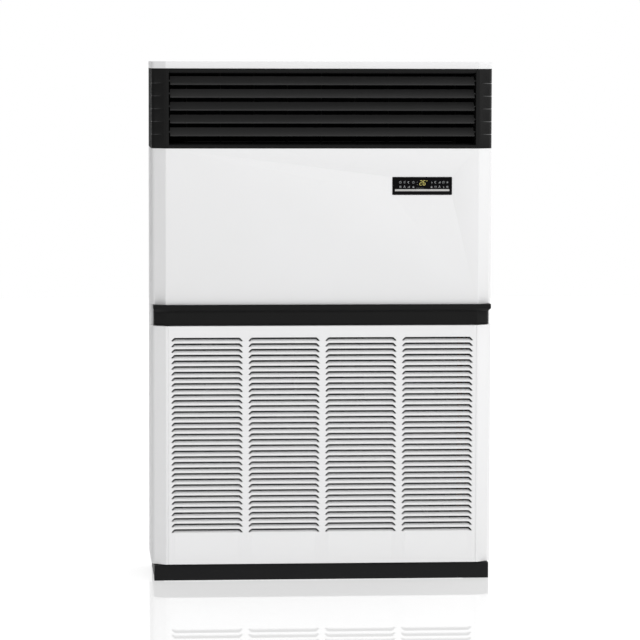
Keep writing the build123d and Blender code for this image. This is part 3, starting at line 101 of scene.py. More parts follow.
def finish(name, light, dark, sockets, *, rough, spread, grain_mm, relief_mm, patch_mm=None,
           stretch=(1, 1, 1), kind="noise"):
    """A finish with two close colours in large soft patches and a fine relief of its own.

    The relief is plain noise, the cells of a moulded grain, or a spangle, whose grains also take
    the two colours instead of the patches. It spreads the roughness a little to both sides.
    """
    material = bpy.data.materials.new(name)
    tree = empty_tree(material)
    place = add_node(tree, "ShaderNodeTexCoord").outputs["Object"]
    turned = add_node(tree, "ShaderNodeMapping", {"Scale": stretch}, {"Vector": place})
    if kind == "noise":
        height = add_node(
            tree, "ShaderNodeTexNoise",
            {"Scale": 1000 / grain_mm, "Detail": 2.0, "Roughness": 0.5},
            {"Vector": turned.outputs["Vector"]},
        ).outputs["Fac"]
    else:
        grains = add_node(
            tree, "ShaderNodeTexVoronoi",
            {"Scale": 1000 / grain_mm, "Randomness": 1.0},
            {"Vector": turned.outputs["Vector"]},
            feature="F1",
        )
        height = grains.outputs["Color" if kind == "spangle" else "Distance"]
    if kind == "spangle":
        tone = height
    else:
        tone = add_node(
            tree, "ShaderNodeTexNoise",
            {"Scale": 1000 / patch_mm, "Detail": 3.0, "Roughness": 0.55},
            {"Vector": place},
        ).outputs["Fac"]
    shade = add_node(
        tree, "ShaderNodeMix", {MIX_A: linear(light), MIX_B: linear(dark)}, {MIX_FACTOR: tone},
        data_type="RGBA",
    )
    gloss = add_node(
        tree, "ShaderNodeMapRange", {"To Min": rough - spread, "To Max": rough + spread},
        {"Value": height},
    )
    bump = add_node(
        tree, "ShaderNodeBump", {"Strength": 1.0, "Distance": relief_mm * MM}, {"Height": height},
    )
    body = add_node(tree, "ShaderNodeBsdfPrincipled", sockets, {
        "Base Color": shade.outputs[MIX_OUT], "Roughness": gloss.outputs["Result"],
        "Normal": bump.outputs["Normal"],
    })
    add_node(tree, "ShaderNodeOutputMaterial", None, {"Surface": body.outputs["BSDF"]})
    return material


# Powder coated steel: baked polyester powder, an even satin white with a faint orange peel
powder_coated_steel = finish(
    "powder_coated_steel", "#e0e0e1", "#dddddd", {"IOR": 1.5, "Specular IOR Level": 0.35},
    rough=0.36, spread=0.05, grain_mm=2.4, relief_mm=0.012, patch_mm=400.0,
)
# Moulded ABS: black, spark eroded mould skin, satin with a fine even grain
moulded_abs = finish(
    "moulded_abs", "#191919", "#171717", {"IOR": 1.53, "Specular IOR Level": 0.07},
    rough=0.42, spread=0.05, grain_mm=0.9, relief_mm=0.010, patch_mm=90.0, kind="cells",
)
# A lighter and glossier copy of the same ABS for the grooves' sloping lips: its lighter colour is
# painted highlight, and its gloss mirrors what is beside it
polished_highlight_abs = finish(
    "polished_highlight_abs", "#242425", "#212122", {"IOR": 1.53, "Specular IOR Level": 0.75},
    rough=0.25, spread=0.04, grain_mm=0.9, relief_mm=0.003, patch_mm=90.0, kind="cells",
)
# Extruded ABS of the blades: drawn lines along each blade, duller than the moulded skin, and a
# shade lighter than it, which is painted light in the shade between the blades
extruded_abs_painted_light = finish(
    "extruded_abs_painted_light", "#1c1c1c", "#1a1a1a", {"IOR": 1.53, "Specular IOR Level": 0.06},
    rough=0.55, spread=0.05, grain_mm=1.4, relief_mm=0.006, patch_mm=120.0, stretch=(0.05, 1, 1),
)
# ABS of the guide vanes, matt and darker than the other black ABS: painted shade, so that they
# don't show in the shade between the blades
matt_painted_shade_abs = finish(
    "matt_painted_shade_abs", "#0a0a0a", "#080808", {"IOR": 1.53, "Specular IOR Level": 0.08},
    rough=0.75, spread=0.05, grain_mm=0.9, relief_mm=0.010, patch_mm=90.0, kind="cells",
)
# Black powder coated steel of the plinth: a little rougher than the white coat
black_coated_steel = finish(
    "black_coated_steel", "#161617", "#141415", {"IOR": 1.5, "Specular IOR Level": 0.13},
    rough=0.40, spread=0.05, grain_mm=2.0, relief_mm=0.014, patch_mm=200.0,
)
# The same black on the side sheets, where the coat is duller
dull_coated_steel = finish(
    "dull_coated_steel", "#1a1a1b", "#181819", {"IOR": 1.5, "Specular IOR Level": 0.03},
    rough=0.60, spread=0.05, grain_mm=2.0, relief_mm=0.014, patch_mm=200.0,
)
# Tinted acrylic: cast and polished, deep black and smooth
tinted_acrylic = finish(
    "tinted_acrylic", "#050506", "#030303",
    {"IOR": 1.49, "Specular IOR Level": 0.08, "Coat Weight": 0.02, "Coat Roughness": 0.03},
    rough=0.06, spread=0.015, grain_mm=30.0, relief_mm=0.002, patch_mm=60.0,
)
# Brushed anodised aluminium: fine lines along the strip, bright and slightly warm
brushed_aluminium = finish(
    "brushed_aluminium", "#d2d1cf", "#bebdbb", {"Metallic": 0.85},
    rough=0.30, spread=0.10, grain_mm=0.8, relief_mm=0.006, patch_mm=30.0, stretch=(0.02, 1, 1),
)
# Hot dip galvanised steel: zinc spangle of some millimetres, each grain a little other in tone
galvanised_steel = finish(
    "galvanised_steel", "#b4b8bb", "#989da1", {"Metallic": 0.9},
    rough=0.42, spread=0.12, grain_mm=9.0, relief_mm=0.006, kind="spangle",
)
# Electrolytically zinced steel of the fan wheels and shaft: even and bluish
zinced_steel = finish(
    "zinced_steel", "#c2c7cb", "#aab0b5", {"Metallic": 0.95},
    rough=0.33, spread=0.08, grain_mm=1.5, relief_mm=0.006, patch_mm=60.0,
)
# Acetal: moulded, milky white, slightly translucent to the eye and waxy
moulded_acetal = finish(
    "moulded_acetal", "#dcdad2", "#cfcdc4",
    {"IOR": 1.48, "Subsurface Weight": 0.05, "Subsurface Radius": (0.002, 0.002, 0.002)},
    rough=0.38, spread=0.06, grain_mm=1.2, relief_mm=0.006, patch_mm=25.0,
)
# Black acetal of the bar that joins the vanes: it can be seen below the blades, so it is dark
black_acetal = finish(
    "black_acetal", "#121212", "#0f0f0f", {"IOR": 1.48, "Specular IOR Level": 0.15},
    rough=0.38, spread=0.06, grain_mm=1.2, relief_mm=0.006, patch_mm=25.0,
)
# Motor enamel: dipped black, thick and half gloss with runs
dipped_enamel = finish(
    "dipped_enamel", "#2c2e30", "#1f2122", {"IOR": 1.52},
    rough=0.30, spread=0.08, grain_mm=14.0, relief_mm=0.08, patch_mm=50.0,
)
# Aluminium fin stock: rolled, bright, lines drawn across the fins
fin_stock = finish(
    "fin_stock", "#c9cdd0", "#aeb3b7", {"Metallic": 0.95},
    rough=0.34, spread=0.10, grain_mm=1.4, relief_mm=0.02, patch_mm=40.0, stretch=(1, 0.05, 0.05),
)
# Drawn copper: dull where it has been handled
drawn_copper = finish(
    "drawn_copper", "#c07a52", "#9a5637", {"Metallic": 1.0},
    rough=0.32, spread=0.12, grain_mm=6.0, relief_mm=0.02, patch_mm=18.0,
)
# Soft PVC of the drain hose: light grey, slightly sticky shine
soft_pvc = finish(
    "soft_pvc", "#b9bab8", "#a9aaa8", {"IOR": 1.52},
    rough=0.45, spread=0.08, grain_mm=3.0, relief_mm=0.02, patch_mm=40.0,
)
# Polypropylene of the filter frames and net: black, matt from the mould
moulded_polypropylene = finish(
    "moulded_polypropylene", "#2d2f31", "#242527", {"IOR": 1.49},
    rough=0.52, spread=0.06, grain_mm=1.0, relief_mm=0.010, patch_mm=30.0, kind="cells",
)
# Epoxy glass board with green solder mask
solder_mask = finish(
    "solder_mask", "#17613a", "#0f4c2c",
    {"IOR": 1.55, "Coat Weight": 0.3, "Coat Roughness": 0.15},
    rough=0.28, spread=0.06, grain_mm=3.0, relief_mm=0.03, patch_mm=9.0, kind="cells",
)
# Nitrile rubber of the grommet: black and matt
nitrile_rubber = finish(
    "nitrile_rubber", "#1c1c1d", "#151516", {"IOR": 1.52},
    rough=0.68, spread=0.08, grain_mm=1.6, relief_mm=0.02, patch_mm=20.0,
)
# Closed cell foam: black sheet against sweating and draughts, matt and finely pitted
foam_sheet = finish(
    "foam_sheet", "#101011", "#0c0c0d", {"IOR": 1.4, "Specular IOR Level": 0.1},
    rough=0.85, spread=0.08, grain_mm=2.2, relief_mm=0.10, patch_mm=60.0, kind="cells",
)
# Screen printed ink behind the window, lit faintly from the board
printed_symbol = finish(
    "printed_symbol", "#8c8d8e", "#7e7f80",
    {"Emission Color": linear("#a9abad"), "Emission Strength": 0.12},
    rough=0.5, spread=0.05, grain_mm=0.6, relief_mm=0.002, patch_mm=20.0,
)
# Light pipes of the two digits: warm yellow, as a lit display shows through a tinted window
lit_segment = finish(
    "lit_segment", "#b9b064", "#a69d55",
    {"Emission Color": linear("#cfc46c"), "Emission Strength": 0.45},
    rough=0.5, spread=0.05, grain_mm=0.6, relief_mm=0.002, patch_mm=20.0,
)

SLOT_FINISH = {
    "white_paint": powder_coated_steel,
    "black_moulding": moulded_abs,
    "display_black": tinted_acrylic,
    "display_silver": brushed_aluminium,
    "bare_steel": galvanised_steel,
    "link_plastic": moulded_acetal,
    "wheel_steel": zinced_steel,
    "motor_paint": dipped_enamel,
    "fin_metal": fin_stock,
    "pipe_metal": drawn_copper,
    "hose_plastic": soft_pvc,
    "filter_net": moulded_polypropylene,
    "board_green": solder_mask,
    "soft_rubber": nitrile_rubber,
}
SLOT_OF = {part["node"]: part["material_slot"] for part in frame["record"]["subparts"]}
BODY_OF = {
    node: body for body, nodes in frame["record"]["behaviour"]["bodies"].items() for node in nodes
}

# ---------------------------------------------------------------- mesh helpers
# Degrees. Edges are shaded sharp beyond the first three, each for its own kind of piece. Those
# flatter than FLAT_ANGLE are removed, and those sharper than ROUND_ANGLE are rounded
SMOOTH_ANGLE, PRESSED_SMOOTH_ANGLE, SOFT_SMOOTH_ANGLE = 35.0, 40.0, 60.0
FLAT_ANGLE, ROUND_ANGLE = 0.5, 38.0


def mesh_of(bm, name):
    """The mesh that a working mesh gives, with the working mesh freed."""
    mesh = bpy.data.meshes.new(name)
    bm.to_mesh(mesh)
    bm.free()
    return mesh


def in_scene(name, data):
    """A new object in the scene, for a mesh, a light or a camera."""
    made = bpy.data.objects.new(name, data)
    bpy.context.scene.collection.objects.link(made)
    return made


def piece(mesh, name, body, slot, material=None, replaced=(), smooth_angle=SMOOTH_ANGLE):
    """Puts a finished mesh into the scene, shades it and ties it to its body."""
    mesh.name = name
    mesh.shade_smooth()
    mesh.set_sharp_from_angle(angle=math.radians(smooth_angle))
    mesh.materials.clear()
    mesh.materials.append(material or SLOT_FINISH[slot])
    made = in_scene(name, mesh)
    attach(made, body)
    if replaced:
        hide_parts(*replaced)
    return made


def piece_from(bm, name, body, slot, material=None, replaced=()):
    """Closes a working mesh into a finished piece that rides on a body."""
    return piece(mesh_of(bm, name), name, body, slot, material, replaced)


def evaluated(mesh_object):
    """The mesh that an object's modifiers give, with the modifiers and the object removed."""
    graph = bpy.context.evaluated_depsgraph_get()
    mesh = bpy.data.meshes.new_from_object(mesh_object.evaluated_get(graph))
    bpy.data.objects.remove(mesh_object)
    return mesh


def merged_copy(node, change=None):
    """A node's mesh with its triangles merged into flat faces, after a change if there is one."""
    bm = bmesh.new()
    bm.from_mesh(frame["nodes"][node].data)
    bmesh.ops.remove_doubles(bm, verts=bm.verts, dist=NEAR)
    if change:
        change(bm)
    bmesh.ops.dissolve_limit(
        bm, angle_limit=math.radians(FLAT_ANGLE), verts=bm.verts, edges=bm.edges,
        delimit={"NORMAL"},
    )
    return bm


def softened(node, width_mm, material=None, change=None):
    """A node with its sharp edges rounded, as a press brake, a mould or a coat of paint does."""
    blank = in_scene(node + "_blank", mesh_of(merged_copy(node, change), node))
    bevel = blank.modifiers.new("edge", "BEVEL")
    bevel.width = width_mm * MM
    bevel.segments = 2
    bevel.limit_method = "ANGLE"
    bevel.angle_limit = math.radians(ROUND_ANGLE)
    bevel.use_clamp_overlap = True
    weigh = blank.modifiers.new("weigh", "WEIGHTED_NORMAL")
    weigh.keep_sharp = True
    return piece(
        evaluated(blank), node + "_soft", BODY_OF[node], SLOT_OF[node], material, (node,),
        SOFT_SMOOTH_ANGLE,
    )


def block(bm, low, high):
    """Adds a closed box between two corners."""
    low, high = Vector(low), Vector(high)
    corners = [
        bm.verts.new([(low, high)[i >> axis & 1][axis] for axis in range(3)]) for i in range(8)
    ]
    for loop in (
        (0, 2, 3, 1), (4, 5, 7, 6), (0, 1, 5, 4), (2, 6, 7, 3), (0, 4, 6, 2), (1, 3, 7, 5),
    ):
        bm.faces.new([corners[i] for i in loop])


def block_mesh(name, low, high):
    """The mesh of one closed box."""
    bm = bmesh.new()
    block(bm, low, high)
    return mesh_of(bm, name)


def ring(bm, middle, radius, y, sides):
    """Points on a circle that faces along Y, about a middle in X and Z."""
    return [
        bm.verts.new((middle[0] + radius * math.cos(2 * math.pi * n / sides), y,
                      middle[1] + radius * math.sin(2 * math.pi * n / sides)))
        for n in range(sides)
    ]


def bridge(bm, a, b):
    """Closes the band between two rings of as many points."""
    for n in range(len(a)):
        m = (n + 1) % len(a)
        bm.faces.new((a[n], a[m], b[m], b[n]))


# ---------------------------------------------------------------- repeating with geometry nodes
def field_group():
    """Repeats a mesh over a flat grid in X and Z, and joins what touches."""
    tree = bpy.data.node_groups.new("repeat_over_field", "GeometryNodeTree")
    tree.interface.new_socket("Geometry", in_out="INPUT", socket_type="NodeSocketGeometry")
    for label, kind in (("Columns", "Int"), ("Rows", "Int"), ("Width", "Float"),
                        ("Height", "Float"), ("Finish", "Material")):
        tree.interface.new_socket(label, in_out="INPUT", socket_type="NodeSocket" + kind)
    tree.interface.new_socket("Geometry", in_out="OUTPUT", socket_type="NodeSocketGeometry")
    given = add_node(tree, "NodeGroupInput").outputs
    grid = add_node(tree, "GeometryNodeMeshGrid", None, {
        "Size X": given["Width"], "Size Y": given["Height"],
        "Vertices X": given["Columns"], "Vertices Y": given["Rows"],
    })
    upright = add_node(
        tree, "GeometryNodeTransform", {"Rotation": (math.pi / 2, 0, 0)},
        {"Geometry": grid.outputs["Mesh"]},
    )
    copies = add_node(tree, "GeometryNodeInstanceOnPoints", None, {
        "Points": upright.outputs["Geometry"], "Instance": given["Geometry"],
    })
    real = add_node(
        tree, "GeometryNodeRealizeInstances", None, {"Geometry": copies.outputs["Instances"]},
    )
    joined = add_node(
        tree, "GeometryNodeMergeByDistance", {"Distance": 2 * NEAR},
        {"Geometry": real.outputs["Geometry"]},
    )
    coated = add_node(tree, "GeometryNodeSetMaterial", None, {
        "Geometry": joined.outputs["Geometry"], "Material": given["Finish"],
    })
    add_node(tree, "NodeGroupOutput", None, {"Geometry": coated.outputs["Geometry"]})
    return tree


FIELD_GROUP = field_group()


def repeated(mesh, name, columns, rows, step_x, step_z, material):
    """A mesh repeated over a field whose middle is the origin."""
    values = {
        "Columns": columns, "Rows": rows,
        "Width": step_x * (columns - 1), "Height": step_z * (rows - 1), "Finish": material,
    }
    holder = in_scene(name + "_base", mesh)
    modifier = holder.modifiers.new(name, "NODES")
    modifier.node_group = FIELD_GROUP
    for item in FIELD_GROUP.interface.items_tree:
        if item.in_out == "INPUT" and item.name in values:
            modifier[item.identifier] = values[item.name]
    return evaluated(holder)


# ---------------------------------------------------------------- louvred lower panel
RUN_IN = (0.0, 0.7, 1.6, 3.0, 5.0, 7.5, 11.0, 16.0, 24.0)  # columns from a louvre's end, mm
RISES = (0.0, 0.10, 0.22, 0.38, 0.58, 0.80, 1.0)  # rows of the flap, as shares of its height
END_RUN = 12 * MM  # over this length a louvre grows out of the flat sheet
END_DROP = 11.5 * MM  # and its slot's upper edge comes down in a quarter round
FLAP_SHORT = 6.8 * MM  # a flap that is turned inwards stands lower than the slot it came from
FLAP_GROWTH = 2.5  # that gap opens this much faster than the louvre grows
CURVE = 1.25  # exponent of the round at a slot's end and of the flap's curve
CELL_NEAR = 1e-6  # the points at a louvre's end lie closer together than elsewhere


def louvre_cell():
    """One cell of the panel: flat sheet with a louvre drawn inwards below its slot."""
    half = LOUVRE_LENGTH / 2
    foot, top = -LOUVRE_HEIGHT / 2, LOUVRE_HEIGHT / 2
    left = [-half + step * MM for step in RUN_IN]
    across = [-LOUVRE_STEP / 2] + left + [-x for x in reversed(left)] + [LOUVRE_STEP / 2]
    lower, upper = [], []
    for x in across:
        share = min(max(half - abs(x), 0.0) / END_RUN, 1.0)
        edge = top - END_DROP * (1 - share) ** CURVE
        lip = edge - FLAP_SHORT * min(share * FLAP_GROWTH, 1.0)
        depth = LOUVRE_DEPTH * math.sqrt(max(1 - (1 - share) ** 2, 0.0))
        flap = [(x, depth * rise ** CURVE, foot + (lip - foot) * rise) for rise in RISES]
        lower.append([(x, 0.0, -LOUVRE_PITCH / 2)] + flap)
        upper.append([(x, 0.0, edge), (x, 0.0, LOUVRE_PITCH / 2)])
    bm = bmesh.new()
    for columns in (lower, upper):
        grid = [[bm.verts.new(p) for p in column] for column in columns]
        for a, b in zip(grid, grid[1:]):
            for n in range(len(a) - 1):
                bm.faces.new((a[n], b[n], b[n + 1], a[n + 1]))
    outside = [v for v in bm.verts if abs(v.co.x) > half - CELL_NEAR]
    bmesh.ops.remove_doubles(bm, verts=outside, dist=2 * CELL_NEAR)
    return bm


louvre_field = repeated(
    mesh_of(louvre_cell(), "louvre_cell"), "intake_panel_louvres", LOUVRE_COLUMNS, LOUVRE_ROWS,
    LOUVRE_STEP, LOUVRE_PITCH, powder_coated_steel,
)
field_middle = LOUVRE_TOP - LOUVRE_HEIGHT / 2 - (LOUVRE_ROWS - 1) * LOUVRE_PITCH / 2
louvre_field.transform(Matrix.Translation((0, FACE, field_middle)))

# The field's margin is drawn out to the panel's own edges
EDGE_ROUND = 1.5 * MM
FLAT_HALF = PANEL_HALF - EDGE_ROUND
field_half_x = LOUVRE_STEP * LOUVRE_COLUMNS / 2
field_half_z = LOUVRE_PITCH * LOUVRE_ROWS / 2
panel = bmesh.new()
panel.from_mesh(louvre_field)
for v in panel.verts:
    if abs(abs(v.co.x) - field_half_x) < NEAR:
        v.co.x = math.copysign(FLAT_HALF, v.co.x)
    if abs(v.co.z - field_middle - field_half_z) < NEAR:
        v.co.z = PANEL_HIGH - EDGE_ROUND
    if abs(v.co.z - field_middle + field_half_z) < NEAR:
        v.co.z = PANEL_LOW + EDGE_ROUND
bmesh.ops.recalc_face_normals(panel, faces=panel.faces)
if sum(f.normal.y for f in panel.faces) > 0:
    bmesh.ops.reverse_faces(panel, faces=panel.faces)


def on_rim(v):
    """Whether a point lies on the flat sheet's outer edge."""
    return (
        abs(abs(v.co.x) - PANEL_HALF + EDGE_ROUND) < NEAR
        or abs(v.co.z - PANEL_HIGH + EDGE_ROUND) < NEAR
        or abs(v.co.z - PANEL_LOW - EDGE_ROUND) < NEAR
    )


# Three steps round the edge by 90 degrees, and the last draws the flange behind it
rim = [e for e in panel.edges if e.is_boundary and all(on_rim(v) for v in e.verts)]
panel_middle = (PANEL_LOW + PANEL_HIGH) / 2
flat_half_height = (PANEL_HIGH - PANEL_LOW) / 2 - EDGE_ROUND
for turn in (30, 60, 90, None):
    grown = bmesh.ops.extrude_edge_only(panel, edges=rim)["geom"]
    rim = [g for g in grown if isinstance(g, bmesh.types.BMEdge)]
    for v in {v for e in rim for v in e.verts}:
        if turn is None:
            v.co.y = FACE + PANEL_FLANGE
            continue
        outward = EDGE_ROUND * math.sin(math.radians(turn))
        v.co.y = FACE + EDGE_ROUND * (1 - math.cos(math.radians(turn)))
        if abs(v.co.x) >= FLAT_HALF - NEAR:
            v.co.x = math.copysign(FLAT_HALF + outward, v.co.x)
        if abs(v.co.z - panel_middle) >= flat_half_height - NEAR:
            v.co.z = panel_middle + math.copysign(flat_half_height + outward, v.co.z - panel_middle)
pressed = in_scene("intake_panel_blank", mesh_of(panel, "intake_panel_pressed"))
wall = pressed.modifiers.new("wall", "SOLIDIFY")
wall.thickness = SHEET
wall.offset = -1.0
piece(
    evaluated(pressed), "intake_panel_pressed", "intake_front", "white_paint", None,
    ("intake_panel",), PRESSED_SMOOTH_ANGLE,
)

# ---------------------------------------------------------------- pressed, folded and moulded skins
SIDES = ("left", "right")


def split_off_top(made, height, name, slot, material):
    """Cuts a sheet at a height, and makes what stands above it a piece of its own."""
    halves = []
    for above in (False, True):
        bm = bmesh.new()
        bm.from_mesh(made.data)
        cut = bmesh.ops.bisect_plane(
            bm, geom=bm.verts[:] + bm.edges[:] + bm.faces[:], plane_co=(0, 0, height),
            plane_no=(0, 0, 1), clear_outer=not above, clear_inner=above,
        )
        rim = [g for g in cut["geom_cut"] if isinstance(g, bmesh.types.BMEdge)]
        bmesh.ops.holes_fill(bm, edges=rim, sides=0)
        halves.append(bm)
    halves[0].to_mesh(made.data)
    halves[0].free()
    made.data.shade_smooth()
    made.data.set_sharp_from_angle(angle=math.radians(SMOOTH_ANGLE))
    piece_from(halves[1], name, "cabinet", slot, material)


for node in ("intake_wing_left", "intake_wing_right", "upper_panel", "side_panel_left",
             "side_panel_right"):
    softened(node, 0.5)
# Beside the outlet the side sheets are black as well
OUTLET_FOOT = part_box("outlet_corner_left")[0].z
for side in SIDES:
    split_off_top(
        bpy.data.objects[f"side_panel_{side}_soft"], OUTLET_FOOT, f"side_panel_{side}_black_top",
        "black_moulding", dull_coated_steel,
    )
softened("rear_panel", 0.4)
softened("top_cover", 1.0)
softened("kick_plate", 0.5, black_coated_steel)
softened("mid_band", 0.9)
for node in ("outlet_top_rail", "outlet_bottom_rail"):
    softened(node, 0.35)

# The corners' grooves stand a little lower than in the solids, and have a sloping lower lip that
# catches the light
GROOVE_LOWER, GROOVE_HALF, GROOVE_WALL = 8.5 * MM, 1.5 * MM, 0.3 * MM
GROOVE_NEAR = 1e-4
LIP_SLOPES = (0.2, 0.8)  # the upward part of a lip's direction


def slope_grooves(bm):
    """Moves the grooves down and turns each one's lower ledge into a slope up to its upper one."""
    for row in BLADES:
        pivot = sum(v.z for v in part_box(f"outlet_blade_{row}")) / 2
        inside = [
            v for v in bm.verts
            if abs(abs(v.co.z - pivot) - GROOVE_HALF) < GROOVE_NEAR and abs(v.co.x) > CHEEK_X
        ]
        members = set(inside)
        deep = {
            v for f in bm.faces if abs(f.normal.z) < 0.5 and all(w in members for w in f.verts)
            for v in f.verts
        }
        for v in inside:
            if v in deep and v.co.z < pivot:
                v.co.z = pivot + GROOVE_HALF - GROOVE_WALL
            v.co.z -= GROOVE_LOWER
    bm.normal_update()


# The grooves' sloping lips take the lighter and glossier ABS, whose lighter colour is painted
# highlight
for side in SIDES:
    corner = softened(f"outlet_corner_{side}", 0.25, change=slope_grooves)
    corner.data.materials.append(polished_highlight_abs)
    for face in corner.data.polygons:
        if LIP_SLOPES[0] < face.normal.z < LIP_SLOPES[1] and abs(face.center.x) > CHEEK_X:
            face.material_index = 1
# The blades take the lighter copy of the black ABS, which is painted light
for row in BLADES:
    softened(f"outlet_blade_{row}", 0.3, extruded_abs_painted_light)
softened("display_window", 0.35)
softened("display_trim", 0.5)
softened("cable_grommet", 0.6)

# ---------------------------------------------------------------- display symbols and digits
# Every symbol is drawn in mm about its own middle (x, z), which counts from the window's middle
WINDOW_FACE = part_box("display_window")[0].y
INK = 0.08 * MM
LINE, FINE_LINE, THIN_LINE, BOLD_LINE = 0.9, 0.8, 0.7, 1.5
DISC_SIDES = 14
ARC_STEP = 1.05  # length of an arc's strokes, as a share of their step, so that they overlap


def flat_shape(bm, outline):
    """A thin raised print from an outline in the window's plane."""
    points = [(WINDOW_X + x * MM, WINDOW_Z + z * MM) for x, z in outline]
    front = [bm.verts.new((x, WINDOW_FACE - INK, z)) for x, z in points]
    back = [bm.verts.new((x, WINDOW_FACE + INK / 2, z)) for x, z in points]
    made = [bm.faces.new(front), bm.faces.new(back[::-1])]
    for i in range(len(points)):
        j = (i + 1) % len(points)
        made.append(bm.faces.new((front[i], back[i], back[j], front[j])))
    bmesh.ops.recalc_face_normals(bm, faces=made)


def around(x, z, radius, degrees):
    """The point at a distance from a middle, in a direction."""
    a = math.radians(degrees)
    return x + radius * math.cos(a), z + radius * math.sin(a)


def stroke(bm, start, end, width=LINE):
    """A straight printed line with square ends."""
    dx, dz = end[0] - start[0], end[1] - start[1]
    length = math.hypot(dx, dz)
    nx, nz = -dz / length * width / 2, dx / length * width / 2
    flat_shape(bm, [
        (start[0] - nx, start[1] - nz), (end[0] - nx, end[1] - nz),
        (end[0] + nx, end[1] + nz), (start[0] + nx, start[1] + nz),
    ])


def arc(bm, x, z, radius, first=0, last=360, width=LINE, steps=14):
    """A printed arc or ring, as short overlapping strokes."""
    step = (last - first) / steps
    for n in range(steps):
        stroke(bm, around(x, z, radius, first + step * n),
               around(x, z, radius, first + step * (n + ARC_STEP)), width)


def disc(bm, x, z, radius, stretch=1.0, turn=0.0):
    """A printed round or oval spot."""
    t = math.radians(turn)
    outline = []
    for n in range(DISC_SIDES):
        dx, dz = around(0, 0, radius, 360 * n / DISC_SIDES)
        dz *= stretch
        outline.append((x + dx * math.cos(t) - dz * math.sin(t),
                        z + dx * math.sin(t) + dz * math.cos(t)))
    flat_shape(bm, outline)


def rays(bm, x, z, inner, outer, count, start=0, width=FINE_LINE):
    """Strokes that point away from a middle."""
    for n in range(count):
        angle = start + 360 * n / count
        stroke(bm, around(x, z, inner, angle), around(x, z, outer, angle), width)


def sun(bm, x, z):
    disc(bm, x, z, 1.9)
    rays(bm, x, z, 2.7, 4.2, 8)


def snow(bm, x, z):
    rays(bm, x, z, 0.3, 4.4, 6, 30)
    for n in range(6):
        rays(bm, *around(x, z, 2.9, 30 + 60 * n), 0.2, 1.5, 2, 60 * n + 330, 0.6)


def drop(bm, x, z):
    flat_shape(bm, [(x, z + 4.4)] + [around(x, z - 1.2, 2.7, 150 - 20 * n) for n in range(13)])


def fan(bm, x, z):
    disc(bm, x, z, 0.9)
    for angle in (90, 210, 330):
        disc(bm, *around(x, z, 2.5, angle), 2.0, 0.55, angle)


def clock(bm, x, z):
    arc(bm, x, z, 3.9)
    stroke(bm, (x, z - 0.3), (x, z + 2.6))
    stroke(bm, (x - 0.3, z), (x + 2.1, z))


def moon(bm, x, z):
    outer = [around(x, z, 3.9, a) for a in range(60, 301, 20)]
    flat_shape(bm, outer + [around(x + 1.5, z, 2.9, a) for a in range(270, 89, -20)])


def switch(bm, x, z):
    arc(bm, x, z - 0.3, 3.5, 120, 420)
    stroke(bm, (x, z + 0.2), (x, z + 4.4))


def rise(bm, x, z):
    for n in range(3):
        stroke(bm, (x - 2.8 + 2.8 * n, z - 3.6), (x - 2.8 + 2.8 * n, z - 1.2 + 2.3 * n), BOLD_LINE)


def sweep_air(bm, x, z):
    for n in range(3):
        stroke(bm, (x - 3.6, z + 2.6 - 2.4 * n), (x + 3.6, z + 3.6 - 3.4 * n), FINE_LINE)


def padlock(bm, x, z):
    flat_shape(bm, [(x - 2.7, z - 3.8), (x + 2.7, z - 3.8), (x + 2.7, z), (x - 2.7, z)])
    arc(bm, x, z + 0.2, 2.0, 0, 180, steps=8)


LEFT_PLACES = (-78.0, -63.0, -48.0, -31.5)
RIGHT_PLACES = (33.5, 47.7, 61.8, 75.8, 90.0)
SYMBOL_ROWS = (
    (13.0, LEFT_PLACES, (clock, sweep_air, moon, switch)),
    (-3.0, LEFT_PLACES, (snow, fan, rise, padlock)),
    (13.0, RIGHT_PLACES, (drop, moon, rise, clock, sun)),
    (-3.0, RIGHT_PLACES, (padlock, switch, fan, drop, snow)),
)
symbols = bmesh.new()
for z, places, row in SYMBOL_ROWS:
    for x, symbol in zip(places, row):
        symbol(symbols, x, z)
# two marks beside the digits and a broken line below them
for x, z in ((-17.4, 13.0), (-17.4, 3.5)):
    stroke(symbols, (x - 1.8, z), (x + 1.8, z + 1.2), THIN_LINE)
for n in range(6):
    stroke(symbols, (-20 + 4.4 * n, -7.6), (-17 + 4.4 * n, -7.6), THIN_LINE)
piece_from(symbols, "display_symbols", "cabinet", "display_silver", printed_symbol)

# Seven segment digits: the segments are numbered top, upper right, lower right, bottom,
# lower left, upper left and middle
SEGMENTS = (
    ((-3, 7), (3, 7)), ((3.8, 6.4), (3.8, 0.6)), ((3.8, -0.6), (3.8, -6.4)), ((-3, -7), (3, -7)),
    ((-3.8, -0.6), (-3.8, -6.4)), ((-3.8, 6.4), (-3.8, 0.6)), ((-3, 0), (3, 0)),
)
DIGITS = ((-4.6, (0, 1, 6, 4, 3)), (7.2, (0, 5, 6, 4, 3, 2)))
DIGIT_Z, DIGIT_STRETCH, DIGIT_LEAN = 11, 1.15, 0.12
digits = bmesh.new()
for x, lit in DIGITS:
    for number in lit:
        ends = [(x + dx + DIGIT_LEAN * dz, DIGIT_Z + dz * DIGIT_STRETCH)
                for dx, dz in SEGMENTS[number]]
        stroke(digits, *ends, BOLD_LINE)
arc(digits, 16.8, 18.0, 1.5, 0, 360, THIN_LINE, 10)
piece_from(digits, "display_digits", "cabinet", "display_silver", lit_segment)

# ---------------------------------------------------------------- back screws
SCREW_SEAT, SCREW_SIDES = 0.1955, 16
